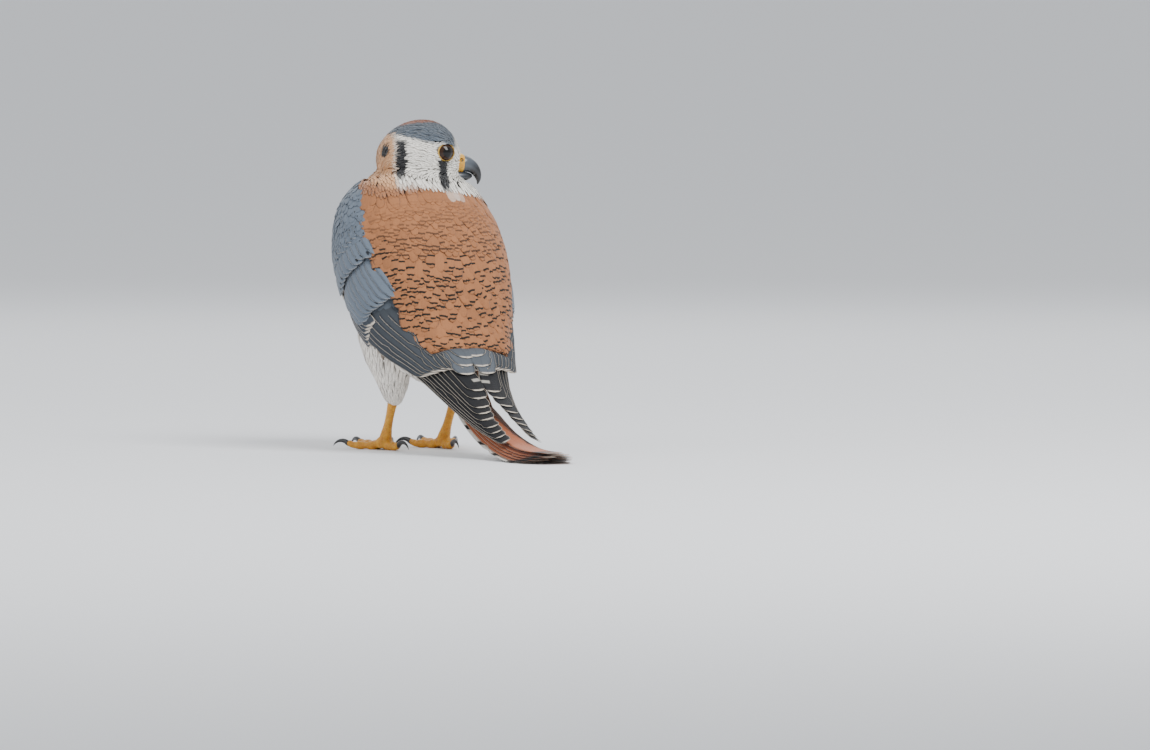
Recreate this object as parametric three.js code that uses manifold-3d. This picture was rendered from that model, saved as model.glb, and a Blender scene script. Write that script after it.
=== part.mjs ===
// An adult male American kestrel at life size. It stands upright on the floor with its wings
// folded, its head turned far to its right and its tail laid along the floor behind it.
// Millimetres, +Z up. The bird faces -Y, so its own left side is at +X.

import * as THREE from 'three';
import Module from 'manifold-3d';

const wasm = await Module();
wasm.setup();

// Clearance between neighbouring parts
const GAP = 0.3;

// Spine line: distances along it are positive towards the head and zero at the trunk's middle
const BODY_PITCH = 60;
const RUMP_BEND_START = -18;
const RUMP_BEND_END = -58;
const TAIL_ROOT_SLOPE = 40;
const TAIL_FLAT_FROM = -150;
const SPINE_BACK_END = -176;
const SPINE_FRONT_END = 62;

// Trunk: [distance along the spine, half width, depth to the back, depth to the belly]
const TRUNK_PROFILE = [
  [-62, 6.5, 7.0, 1.5],
  [-54, 11.5, 9.8, 6.5],
  [-42, 20.0, 14.0, 14.5],
  [-24, 27.2, 19.5, 22.5],
  [-4, 30.0, 23.5, 28.5],
  [16, 30.4, 24.5, 30.5],
  [32, 27.4, 22.5, 26.5],
  [42, 21.6, 18.5, 20.5],
  [49, 13.4, 11.5, 12.5],
];
const TRUNK_RINGS = 13;
const TRUNK_SIDES = 22;

// Neck: [forward of the origin, height, half width, half depth]
const NECK_PROFILE = [
  [16.0, 97, 25.2, 24.0],
  [18.0, 105, 22.4, 21.5],
  [16.5, 112, 18.8, 18.8],
  [14.5, 118, 16.2, 16.2],
  [13.5, 124, 13.0, 13.0],
];
const NECK_SWAY = 3.4;
const NECK_SIDES = 20;
const NECK_BASE_HEIGHT = 104.5;
const NECK_BASE_TILT = 17;
const NECK_TOP_HEIGHT = 114;

// Head: [distance in front of its centre, half width, height of crown, depth of throat]
const HEAD_CENTRE = new THREE.Vector3(-5.0, -12.5, 124.8);
const HEAD_TURN = 104;
const HEAD_DIP = 4;
const HEAD_PROFILE = [
  [-19.2, 3.2, 3.0, 4.0],
  [-17.6, 6.8, 6.4, 7.4],
  [-14.0, 11.2, 10.9, 11.0],
  [-8.5, 14.5, 14.8, 13.4],
  [-1.5, 16.0, 16.8, 14.6],
  [5.0, 15.2, 16.4, 14.0],
  [10.0, 12.4, 13.8, 12.2],
  [13.6, 8.8, 10.0, 9.8],
  [15.6, 6.0, 7.0, 7.4],
  [16.8, 3.4, 4.2, 4.8],
];
const HEAD_RINGS = 12;
const HEAD_SIDES = 20;
const EYE_RINGS = 8;
const EYE_SIDES = 14;

const EYE_RADIUS = 5.6;
const EYE_FORWARD = 6.4;
const EYE_SIDE = 10.5;
const EYE_UP = 3.8;
const EYE_TURN = 20;
const LID_RING_RADIUS = 4.35;
const LID_TUBE_RADIUS = 0.85;
const LID_PLANE = 4.0;
const LID_STEPS = 14;
const LID_SIDES = 5;
const BROW = { from: [0.5, 12.2, 9.8], to: [12.0, 9.2, 7.6], arch: 1.2, radius: 1.5 };
const MOUTH_LINE = { back: 8.2, height: -4.7, fall: -0.16, halfWidth: 0.3, depth: 1.1 };

// Bill: [forward, up, half width, depth above, depth below] in the head's own frame
const CERE_FROM = 10.5;
const CERE_TO = 18.4;
const CERE_SECTIONS = [
  [CERE_FROM, -0.9, 4.9, 5.0, 3.6],
  [15.5, -0.9, 4.5, 4.7, 3.6],
  [CERE_TO, -1.0, 3.9, 4.0, 3.5],
];
const UPPER_BILL_SECTIONS = [
  [CERE_TO + GAP, -1.02, 3.8, 3.9, 3.5],
  [20.6, -1.5, 3.3, 3.5, 3.0],
  [22.8, -2.7, 2.6, 2.9, 2.3],
  [24.6, -4.7, 1.8, 2.1, 1.8],
  [25.5, -7.0, 1.0, 1.2, 1.1],
  [25.4, -9.3, 0.25, 0.3, 0.3],
];
const LOWER_BILL_SECTIONS = [
  [CERE_FROM, -6.9, 4.2, 2.0, 2.3],
  [16.0, -6.9, 3.8, 2.0, 2.0],
  [19.3, -6.8, 2.9, 1.8, 1.6],
  [21.4, -6.7, 1.8, 1.4, 1.0],
  [22.5, -6.6, 0.8, 0.7, 0.5],
];
const BILL_SIDES = 14;
const NOSTRIL = { forward: 16.9, side: 4.1, up: 0.7, radius: 1.0 };

// Legs: the stations are [side, forward, height, half width, half depth]
const THIGH_SECTIONS = [
  [17.5, 4.0, 60, 10.0, 13.0],
  [17.5, 2.0, 48, 11.0, 13.5],
  [16.8, -0.5, 38, 9.8, 11.5],
  [15.6, -1.5, 29, 6.6, 7.8],
  [14.7, -0.5, 22, 3.6, 4.2],
];
const TARSUS_TOP = new THREE.Vector3(14.6, 0.1, 21.5);
const TARSUS_FOOT = new THREE.Vector3(14.0, -7.6, 7.2);
const TARSUS_HALF_WIDTH = 1.75;
const TARSUS_HALF_DEPTH = 2.15;
const FOOT_CENTRE = new THREE.Vector3(14, -9.4, 0);
const PALM_RADIUS = 3.7;
const TOE_AXIS_HEIGHT = 1.7;
const TOE_END_RISE = 35;
const CLAW_END_FALL = -65;
const CLAW_TIP_RADIUS = 0.14;
// [name, degrees outwards from straight ahead, toe length, toe radius, claw length]
const TOES = [
  ['inner', -34, 16.5, 1.85, 9.0],
  ['middle', 3, 23.0, 1.95, 9.0],
  ['outer', 40, 17.5, 1.75, 7.8],
  ['hind', 186, 11.5, 1.9, 9.6],
];

// Folded wing: [distance along the spine, half breadth of the pair, rise of the back edge,
// drop of the front edge, middle line, lower limit and upper limit in degrees]
const WING_PROFILE = [
  [46, 17.6, 12.0, 12.0, 1.0, -6, 10],
  [42, 23.2, 17.0, 17.0, 1.0, -26, 30],
  [34, 30.2, 22.5, 24.0, 0.5, -38, 44],
  [16, 35.6, 26.5, 29.0, 0.0, -40, 52],
  [-4, 37.0, 26.5, 28.0, 0.0, -34, 60],
  [-24, 34.8, 22.0, 23.0, 1.0, -22, 70],
  [-44, 29.2, 15.5, 15.0, 3.0, -8, 79],
  [-64, 23.0, 10.5, 10.0, 5.6, 4, 83],
  [-86, 18.4, 8.2, 8.0, 6.6, 12, 82],
  [-110, 15.0, 7.0, 7.0, 6.8, 18, 78],
  [-142, 11.8, 5.6, 6.0, 7.0, 24, 70],
];
const WING_CORE_THICKNESS = [
  [46, 4.0],
  [36, 9.0],
  [16, 12.0],
  [-20, 11.0],
  [-46, 4.6],
  [-66, 1.6],
];
const WING_CORE_END = -66;
const WING_CORE_ROWS = 14;
const WING_CORE_ACROSS = 6;
const WING_MIDLINE_CLEARANCE = 0.25;

// Feather tiers of a folded wing, from its lower edge to its upper edge. A place is a distance
// along the spine and a share of the way across. Lift is the height of the vane's outer face,
// and tilt is how much higher its lower edge stands, so that it passes under the next vane.
const WING_TIERS = {
  primaries: {
    count: 6,
    root: [[-22, 0.13], [-50, 0.66]],
    tip: [[-134, 0.36], [-88, 0.84]],
    halfWidth: [3.9, 4.6],
    rootLift: [-2.6, -1.4],
    tipLift: [-3.9, 0.1],
    tilt: 0,
    stations: [0, 0.3, 0.62, 0.9, 1],
  },
  secondaries: {
    count: 6,
    root: [[-14, 0.34], [-12, 0.86]],
    tip: [[-62, 0.42], [-54, 0.9]],
    halfWidth: [4.0, 4.4],
    rootLift: [-1.3, -1.3],
    tipLift: [0.9, 1.1],
    tilt: 0.72,
    stations: [0, 0.4, 0.88, 1],
  },
  tertials: {
    count: 2,
    root: [[-6, 0.86], [-4, 0.98]],
    tip: [[-47, 0.92], [-38, 1.02]],
    halfWidth: [5.4, 5.4],
    rootLift: [-1.3, -1.3],
    tipLift: [2.4, 3.0],
    tilt: 0.5,
    stations: [0, 0.4, 0.86, 1],
  },
  primaryCoverts: {
    count: 4,
    root: [[0, 0.06], [-2, 0.28]],
    tip: [[-32, 0.1], [-28, 0.34]],
    halfWidth: [2.8, 3.2],
    rootLift: [-1.2, -1.2],
    tipLift: [0.8, 0.9],
    tilt: 0.6,
    stations: [0, 0.45, 0.85, 1],
  },
  greaterCoverts: {
    count: 6,
    root: [[3, 0.34], [9, 0.93]],
    tip: [[-24, 0.36], [-16, 0.95]],
    halfWidth: [4.3, 4.7],
    rootLift: [-1.3, -1.3],
    tipLift: [1.3, 1.5],
    tilt: 0.72,
    stations: [0, 0.45, 0.85, 1],
  },
  alula: {
    count: 2,
    root: [[24, 0.07], [22, 0.17]],
    tip: [[-6, 0.07], [0, 0.19]],
    halfWidth: [2.7, 2.9],
    rootLift: [-1.2, -1.2],
    tipLift: [1.2, 1.3],
    tilt: 0.5,
    stations: [0, 0.45, 0.85, 1],
  },
  medianCoverts: {
    count: 6,
    root: [[17, 0.24], [24, 0.92]],
    tip: [[-3, 0.26], [6, 0.94]],
    halfWidth: [4.6, 4.9],
    rootLift: [-1.3, -1.3],
    tipLift: [1.5, 1.7],
    tilt: 0.72,
    stations: [0, 0.5, 0.85, 1],
  },
};
// The outermost primary is a little shorter than the next one
const OUTER_PRIMARY_SHORTFALL = 6;
const VANE_THICKNESS = 0.55;
const VANE_TIP_THICKNESS = 0.4;
const VANE_CAMBER = 0.2;
const VANE_VARIATION = 0.03;

// Tail
const TAIL_ROOT = -46;
const TAIL_LENGTH = 118;
const TAIL_LIFT = 4.0;
const TAIL_STACK_BELOW = 2.4;
const TAIL_STACK_ABOVE = 2.1;
const TAIL_PAIRS = 6;
const TAIL_LAYER_STEP = 0.8;
const TAIL_OUTER_SHORTFALL = 12;
const TAIL_VANE_HALF_WIDTH = 5.6;
const TAIL_INNER_EDGE = 0.3;
const TAIL_ROOT_SPREAD = 0.55;
const TAIL_TIP_SPREAD = 1.35;
const TAIL_STATIONS = [0, 0.35, 0.68, 0.93, 1];
// Rump and under-tail feathers that wrap the roots of the tail: [distance along the spine,
// half width, depth above, depth below]
const TAIL_COVERT_CORE = [
  [-50, 7.5, 3.4, 4.5],
  [-62, 8.0, 3.4, 4.6],
  [-76, 7.6, 2.6, 3.2],
  [-90, 5.0, 1.4, 1.6],
];
const TAIL_COVERTS = { count: 5, root: -56, tip: -88, halfWidth: 5.2, spread: 3.0, lift: 4.1, sink: 1.6 };
const VENT_COVERTS = { count: 4, root: -56, tip: -92, halfWidth: 5.0, spread: 3.2, lift: 4.7, sink: 1.6 };

const COLOURS = {
  back: 0xa9795c,
  breast: 0xd9b999,
  crown: 0x7c8389,
  wing: 0x66717d,
  tail: 0xa5623c,
  thigh: 0xe4d8c8,
  horn: 0x3c4148,
  cere: 0xd9a441,
  leg: 0xd79a34,
  claw: 0x1d1b1a,
  eye: 0x17100c,
};

const SIDES = [
  ['left', 1],
  ['right', -1],
];
const DEGREE = Math.PI / 180;
const X_AXIS = new THREE.Vector3(1, 0, 0);
const Y_AXIS = new THREE.Vector3(0, 1, 0);
const Z_AXIS = new THREE.Vector3(0, 0, 1);

function clamp(value, low, high) {
  return Math.min(Math.max(value, low), high);
}

function lerp(a, b, t) {
  return a + (b - a) * t;
}

function smooth(t) {
  const u = clamp(t, 0, 1);
  return u * u * (3 - 2 * u);
}

// Smooth value of one column of a profile whose first column runs up or down
function profileAt(profile, column, at) {
  const rows = profile[0][0] < profile[profile.length - 1][0] ? profile : [...profile].reverse();
  const last = rows.length - 1;
  if (at <= rows[0][0]) return rows[0][column];
  if (at >= rows[last][0]) return rows[last][column];
  const k = rows.findIndex((row, i) => i < last && at <= rows[i + 1][0]);
  const slope = (i) => {
    const low = rows[Math.max(i - 1, 0)];
    const high = rows[Math.min(i + 1, last)];
    return (high[column] - low[column]) / (high[0] - low[0]);
  };
  const span = rows[k + 1][0] - rows[k][0];
  const t = (at - rows[k][0]) / span;
  const a = rows[k][column];
  const b = rows[k + 1][column];
  const t2 = t * t;
  const t3 = t2 * t;
  return (
    (2 * t3 - 3 * t2 + 1) * a +
    (t3 - 2 * t2 + t) * span * slope(k) +
    (3 * t2 - 2 * t3) * b +
    (t3 - t2) * span * slope(k + 1)
  );
}

// Closed solid from points and triangles, turned so that its faces point out
function solidFrom(points, triangles) {
  let volume = 0;
  for (const [a, b, c] of triangles) {
    volume += points[a].dot(new THREE.Vector3().crossVectors(points[b], points[c]));
  }
  const outward = volume > 0 ? triangles : triangles.map(([a, b, c]) => [a, c, b]);
  const vertProperties = new Float32Array(points.flatMap((p) => [p.x, p.y, p.z]));
  const triVerts = new Uint32Array(outward.flat());
  return new wasm.Manifold(new wasm.Mesh({ numProp: 3, vertProperties, triVerts }));
}

// Solid through rings of equal count, closed at both ends with a fan
function loft(rings) {
  const count = rings[0].length;
  const points = rings.flat();
  const triangles = [];
  for (let i = 0; i < rings.length - 1; i++) {
    for (let j = 0; j < count; j++) {
      const a = i * count + j;
      const b = i * count + ((j + 1) % count);
      triangles.push([a, b, b + count], [a, b + count, a + count]);
    }
  }
  const addCap = (ring, first, flip) => {
    const middle = points.length;
    const centre = new THREE.Vector3();
    ring.forEach((p) => centre.addScaledVector(p, 1 / count));
    points.push(centre);
    for (let j = 0; j < count; j++) {
      const a = first + j;
      const b = first + ((j + 1) % count);
      triangles.push(flip ? [middle, b, a] : [middle, a, b]);
    }
  };
  addCap(rings[0], 0, true);
  addCap(rings[rings.length - 1], (rings.length - 1) * count, false);
  return solidFrom(points, triangles);
}

// Oval ring round a centre, with its own depth above and below
function ovalRing(centre, side, up, halfWidth, above, below, count) {
  return Array.from({ length: count }, (_, j) => {
    const angle = (2 * Math.PI * j) / count;
    const rise = Math.sin(angle);
    return centre
      .clone()
      .addScaledVector(side, halfWidth * Math.cos(angle))
      .addScaledVector(up, (rise > 0 ? above : below) * rise);
  });
}

// Thin solid between two grids of points that have the same rows and columns
function plate(top, bottom) {
  const rows = top.length;
  const columns = top[0].length;
  const points = [...top.flat(), ...bottom.flat()];
  const below = rows * columns;
  const triangles = [];
  for (let i = 0; i < rows - 1; i++) {
    for (let j = 0; j < columns - 1; j++) {
      const a = i * columns + j;
      const b = a + 1;
      const c = a + columns;
      const d = c + 1;
      triangles.push([a, b, d], [a, d, c]);
      triangles.push([below + a, below + d, below + b], [below + a, below + c, below + d]);
    }
  }
  const wall = (a, b) => triangles.push([b, a, below + a], [b, below + a, below + b]);
  for (let j = 0; j < columns - 1; j++) {
    wall(j, j + 1);
    wall((rows - 1) * columns + j + 1, (rows - 1) * columns + j);
  }
  for (let i = 0; i < rows - 1; i++) {
    wall((i + 1) * columns, i * columns);
    wall(i * columns + columns - 1, (i + 1) * columns + columns - 1);
  }
  return solidFrom(points, triangles);
}

function joined(solids) {
  return solids.reduce((sum, solid) => sum.add(solid));
}

// The largest closed surface of a solid, which drops loose scraps and sealed hollows
function largest(solid) {
  const pieces = solid.decompose();
  return pieces.reduce((best, piece) => (piece.volume() > best.volume() ? piece : best));
}

// Solid cube with the given middle, edge and turn
function cube(middle, edge, turn) {
  const [low, high] = [-edge / 2, edge / 2].map((z) =>
    [[-1, -1], [1, -1], [1, 1], [-1, 1]].map(([x, y]) =>
      new THREE.Vector3((x * edge) / 2, (y * edge) / 2, z).applyQuaternion(turn).add(middle),
    ),
  );
  return loft([low, high]);
}

// Everything on the far side of a plane, as a cube much larger than the bird
function beyond(point, normal) {
  const edge = 600;
  const out = normal.clone().normalize();
  const turn = new THREE.Quaternion().setFromUnitVectors(Z_AXIS, out);
  return cube(point.clone().addScaledVector(out, edge / 2), edge, turn);
}

const aboveFloor = beyond(new THREE.Vector3(), Z_AXIS);

// Spine line, worked out from the tail's tip forwards so that the tail ends flat on the floor
function slopeAt(s) {
  if (s >= RUMP_BEND_END) {
    const t = smooth((s - RUMP_BEND_END) / (RUMP_BEND_START - RUMP_BEND_END));
    return lerp(TAIL_ROOT_SLOPE, BODY_PITCH, t) * DEGREE;
  }
  return TAIL_ROOT_SLOPE * clamp((s - TAIL_FLAT_FROM) / (RUMP_BEND_END - TAIL_FLAT_FROM), 0, 1) * DEGREE;
}

const spineSamples = (() => {
  const samples = [{ s: SPINE_BACK_END, y: 0, z: TAIL_STACK_BELOW - TAIL_LIFT }];
  for (let s = SPINE_BACK_END; s < SPINE_FRONT_END; s += 1) {
    const slope = slopeAt(s + 0.5);
    const { y, z } = samples[samples.length - 1];
    samples.push({ s: s + 1, y: y - Math.cos(slope), z: z + Math.sin(slope) });
  }
  const middle = samples.find((sample) => sample.s === 0);
  const shift = middle.y;
  samples.forEach((sample) => {
    sample.y -= shift;
  });
  return samples;
})();

// Point at a place along the spine, off to one side and out towards the back
function spinePoint(side, out, s) {
  const place = clamp(s - SPINE_BACK_END, 0, spineSamples.length - 1.001);
  const k = Math.floor(place);
  const a = spineSamples[k];
  const b = spineSamples[k + 1];
  const slope = slopeAt(s);
  return new THREE.Vector3(
    side,
    lerp(a.y, b.y, place - k) + out * Math.sin(slope),
    lerp(a.z, b.z, place - k) + out * Math.cos(slope),
  );
}

function spineDorsal(s) {
  return new THREE.Vector3(0, Math.sin(slopeAt(s)), Math.cos(slopeAt(s)));
}

// Trunk, grown by an offset where a neighbour has to clear it
function trunkSolid(offset = 0) {
  const first = TRUNK_PROFILE[0][0];
  const last = TRUNK_PROFILE[TRUNK_PROFILE.length - 1][0];
  const rings = Array.from({ length: TRUNK_RINGS }, (_, i) => {
    const s = lerp(first, last, i / (TRUNK_RINGS - 1));
    const end = i === 0 ? -offset : i === TRUNK_RINGS - 1 ? offset : 0;
    const [halfWidth, back, belly] = [1, 2, 3].map((c) => profileAt(TRUNK_PROFILE, c, s) + offset);
    const centre = spinePoint(0, 0, s + end);
    return ovalRing(centre, X_AXIS, spineDorsal(s), halfWidth, back, belly, TRUNK_SIDES);
  });
  return loft(rings);
}

function neckSolid(offset = 0) {
  const rings = NECK_PROFILE.map(([forward, height, halfWidth, halfDepth]) =>
    ovalRing(
      new THREE.Vector3(-NECK_SWAY * smooth((height - 97) / 27), -forward, height),
      X_AXIS,
      Y_AXIS,
      halfWidth + offset,
      halfDepth + offset,
      halfDepth + offset,
      NECK_SIDES,
    ),
  );
  return loft(rings);
}

// Head's own axes
const headForward = new THREE.Vector3(0, -1, 0)
  .applyAxisAngle(X_AXIS, HEAD_DIP * DEGREE)
  .applyAxisAngle(Z_AXIS, -HEAD_TURN * DEGREE);
const headLeft = new THREE.Vector3().crossVectors(Z_AXIS, headForward).normalize();
const headUp = new THREE.Vector3().crossVectors(headForward, headLeft).normalize();

function headPoint(forward, left, up) {
  return HEAD_CENTRE.clone()
    .addScaledVector(headForward, forward)
    .addScaledVector(headLeft, left)
    .addScaledVector(headUp, up);
}

function skullSolid(offset = 0) {
  const first = HEAD_PROFILE[0][0];
  const last = HEAD_PROFILE[HEAD_PROFILE.length - 1][0];
  const rings = Array.from({ length: HEAD_RINGS }, (_, i) => {
    // Rings stand closer together towards both ends, where the head rounds off
    const even = i / (HEAD_RINGS - 1);
    const forward = lerp(first, last, lerp(even, smooth(even), 0.45));
    const end = i === 0 ? -offset : i === HEAD_RINGS - 1 ? offset : 0;
    const [halfWidth, crown, throat] = [1, 2, 3].map((c) => profileAt(HEAD_PROFILE, c, forward) + offset);
    const centre = headPoint(forward + end, 0, 0);
    return ovalRing(centre, headLeft, headUp, halfWidth, crown, throat, HEAD_SIDES);
  });
  return loft(rings);
}

// Tube of round section along a list of points, with a radius at each
function tube(points, radii, sides, flatten = 1, startTangent = null, endTangent = null) {
  const last = points.length - 1;
  const rings = points.map((point, i) => {
    let tangent = points[Math.min(i + 1, last)].clone().sub(points[Math.max(i - 1, 0)]);
    if (i === 0 && startTangent) tangent = startTangent;
    if (i === last && endTangent) tangent = endTangent;
    tangent = tangent.clone().normalize();
    const guide = Math.abs(tangent.z) > 0.9 ? Y_AXIS : Z_AXIS;
    const side = new THREE.Vector3().crossVectors(guide, tangent).normalize();
    const up = new THREE.Vector3().crossVectors(tangent, side).normalize();
    return ovalRing(point, side, up, radii[i] * flatten, radii[i], radii[i], sides);
  });
  return loft(rings);
}

function ball(centre, radius, rings, sides) {
  const stack = Array.from({ length: rings - 1 }, (_, i) => {
    const angle = Math.PI * ((i + 0.35) / (rings - 1.3));
    const ringRadius = Math.max(radius * Math.sin(angle), 0.05);
    const middle = centre.clone().addScaledVector(Z_AXIS, -radius * Math.cos(angle));
    return ovalRing(middle, X_AXIS, Y_AXIS, ringRadius, ringRadius, ringRadius, sides);
  });
  return loft(stack);
}

function eyeCentre(side) {
  return headPoint(EYE_FORWARD, side * EYE_SIDE, EYE_UP);
}

function eyeball(side, offset = 0) {
  return ball(eyeCentre(side), EYE_RADIUS + offset, EYE_RINGS, EYE_SIDES);
}

function eyeDirection(side) {
  return headForward
    .clone()
    .multiplyScalar(Math.sin(EYE_TURN * DEGREE))
    .addScaledVector(headLeft, side * Math.cos(EYE_TURN * DEGREE));
}

// Ring of the eyelids, which stands round the eyeball
function lidRing(side) {
  const direction = eyeDirection(side);
  const turn = new THREE.Quaternion().setFromUnitVectors(Z_AXIS, direction);
  const middle = eyeCentre(side).addScaledVector(direction, LID_PLANE);
  const points = [];
  const triangles = [];
  for (let i = 0; i < LID_STEPS; i++) {
    const around = (2 * Math.PI * i) / LID_STEPS;
    for (let j = 0; j < LID_SIDES; j++) {
      const turned = (2 * Math.PI * j) / LID_SIDES;
      const reach = LID_RING_RADIUS + LID_TUBE_RADIUS * Math.cos(turned);
      const height = LID_TUBE_RADIUS * Math.sin(turned);
      const point = new THREE.Vector3(reach * Math.cos(around), reach * Math.sin(around), height);
      points.push(point.applyQuaternion(turn).add(middle));
      const a = i * LID_SIDES + j;
      const b = i * LID_SIDES + ((j + 1) % LID_SIDES);
      const c = ((i + 1) % LID_STEPS) * LID_SIDES + j;
      const d = ((i + 1) % LID_STEPS) * LID_SIDES + ((j + 1) % LID_SIDES);
      triangles.push([a, b, d], [a, d, c]);
    }
  }
  return solidFrom(points, triangles);
}

function browRidge(side) {
  const steps = 5;
  const start = new THREE.Vector3(...BROW.from);
  const end = new THREE.Vector3(...BROW.to);
  const points = [];
  const radii = [];
  for (let i = 0; i <= steps; i++) {
    const t = i / steps;
    const place = start.clone().lerp(end, t);
    points.push(headPoint(place.x, side * place.y, place.z + BROW.arch * Math.sin(Math.PI * t)));
    radii.push(BROW.radius * (0.35 + 0.65 * Math.sin(Math.PI * clamp(t, 0.06, 0.94))));
  }
  return tube(points, radii, 6);
}

// Groove that carries the line of the mouth back from the bill to below the eye
function mouthGroove() {
  const length = 14;
  const slab = [0, 1].map((end) => {
    const forward = MOUTH_LINE.back + end * length;
    const height = MOUTH_LINE.height + Math.max(CERE_FROM - forward, 0) * MOUTH_LINE.fall;
    return [
      headPoint(forward, -20, height - MOUTH_LINE.halfWidth),
      headPoint(forward, 20, height - MOUTH_LINE.halfWidth),
      headPoint(forward, 20, height + MOUTH_LINE.halfWidth),
      headPoint(forward, -20, height + MOUTH_LINE.halfWidth),
    ];
  });
  return loft(slab).subtract(skullSolid(-MOUTH_LINE.depth));
}

function billPiece(sections) {
  const last = sections.length - 1;
  const rings = sections.map(([forward, up, halfWidth, above, below], i) => {
    const [before, after] = [sections[Math.max(i - 1, 0)], sections[Math.min(i + 1, last)]];
    const lean = i === 0 ? 0 : Math.atan2(after[1] - before[1], after[0] - before[0]);
    const ringUp = headUp
      .clone()
      .multiplyScalar(Math.cos(lean))
      .addScaledVector(headForward, -Math.sin(lean));
    return ovalRing(headPoint(forward, 0, up), headLeft, ringUp, halfWidth, above, below, BILL_SIDES);
  });
  return loft(rings);
}

// Outer face of a folded wing at a place along the spine and across from its lower edge (0)
// to its upper edge (1), lifted outwards
function wingPoint(side, s, across, lift = 0) {
  const column = (c) => profileAt(WING_PROFILE, c, s);
  const angle = lerp(column(5), column(6), across) * DEGREE;
  const [breadth, rise, drop, middle] = [1, 2, 3, 4].map(column);
  const reach = angle > 0 ? rise : drop;
  const x = breadth * Math.cos(angle);
  const n = middle + reach * Math.sin(angle);
  const outX = Math.cos(angle) / breadth;
  const outN = Math.sin(angle) / reach;
  const size = Math.hypot(outX, outN);
  return spinePoint(side * (x + (lift * outX) / size), n + (lift * outN) / size, s);
}

// Body of a folded wing, thick in its middle and thin along both edges
function wingCore(side) {
  const from = WING_PROFILE[0][0];
  const top = [];
  const bottom = [];
  for (let i = 0; i < WING_CORE_ROWS; i++) {
    const s = lerp(from, WING_CORE_END, i / (WING_CORE_ROWS - 1));
    const thickness = profileAt(WING_CORE_THICKNESS, 1, s);
    const across = Array.from({ length: WING_CORE_ACROSS + 1 }, (_, j) => j / WING_CORE_ACROSS);
    const lens = (v) => Math.sqrt(Math.max(1 - (2 * v - 1) ** 4, 0));
    top.push(across.map((v) => wingPoint(side, s, v, 0.5 * (lens(v) - 1))));
    bottom.push(across.map((v) => wingPoint(side, s, v, -1.1 - thickness * lens(v))));
  }
  return plate(top, bottom);
}

// Repeatable random numbers from 0 to 1
function randomSource(seed) {
  let state = seed;
  return () => {
    state = (state + 0x6d2b79f5) | 0;
    let t = Math.imul(state ^ (state >>> 15), 1 | state);
    t = (t + Math.imul(t ^ (t >>> 7), 61 | t)) ^ t;
    return ((t ^ (t >>> 14)) >>> 0) / 4294967296;
  };
}

// Feather vane that lies along a surface, where the surface gives a point for a distance along
// the spine, a place across and a lift. It is narrow at its root and rounded at its tip.
function vane(surface, { root, tip, halfWidth, rootLift, tipLift, tilt, stations, outward = 1 }) {
  const columns = [-1, 0, 1];
  const length = Math.abs(tip[0] - root[0]);
  const roundFrom = 1 - Math.min((1.3 * halfWidth) / length, 0.5);
  const top = [];
  const bottom = [];
  for (const t of stations) {
    const s = lerp(root[0], tip[0], t);
    const q = lerp(root[1], tip[1], t);
    const probe = 0.02;
    const perMillimetre = (2 * probe) / surface(s, q - probe, 0).distanceTo(surface(s, q + probe, 0));
    const past = clamp((t - roundFrom) / (1 - roundFrom), 0, 0.98);
    const width = halfWidth * Math.min(1, 0.6 + 1.6 * t) * Math.sqrt(1 - past * past);
    const rise = lerp(rootLift, tipLift, smooth(t * 2.2));
    const thickness = lerp(VANE_THICKNESS, VANE_TIP_THICKNESS, t);
    const lift = (v) => rise + VANE_CAMBER * (1 - v * v) * outward - tilt * v * smooth(t * 2.2);
    top.push(columns.map((v) => surface(s, q + v * width * perMillimetre, lift(v))));
    const under = (v) => lift(v) - thickness * outward;
    bottom.push(columns.map((v) => surface(s, q + v * width * perMillimetre, under(v))));
  }
  return plate(top, bottom);
}

// All the vanes of one tier, each a little different from the next
function wingTier(side, name, seed) {
  const tier = WING_TIERS[name];
  const random = randomSource(seed);
  const surface = (s, q, lift) => wingPoint(side, s, q, lift);
  return Array.from({ length: tier.count }, (_, i) => {
    const share = i / (tier.count - 1);
    const between = (ends) => lerp(ends[0], ends[1], share);
    const place = (ends) => [0, 1].map((c) => lerp(ends[0][c], ends[1][c], share));
    const tip = place(tier.tip);
    const vary = 1 + VANE_VARIATION * (2 * random() - 1);
    tip[0] += random() - 0.5;
    if (name === 'primaries' && i === 0) tip[0] += OUTER_PRIMARY_SHORTFALL;
    return vane(surface, {
      root: place(tier.root),
      tip,
      halfWidth: between(tier.halfWidth) * vary,
      rootLift: between(tier.rootLift),
      tipLift: between(tier.tipLift),
      tilt: tier.tilt,
      stations: tier.stations,
    });
  });
}

// Place over or under the middle of the tail, off to one side
function tailPoint(s, side, lift) {
  return spinePoint(side, TAIL_LIFT + lift, s);
}

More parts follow.
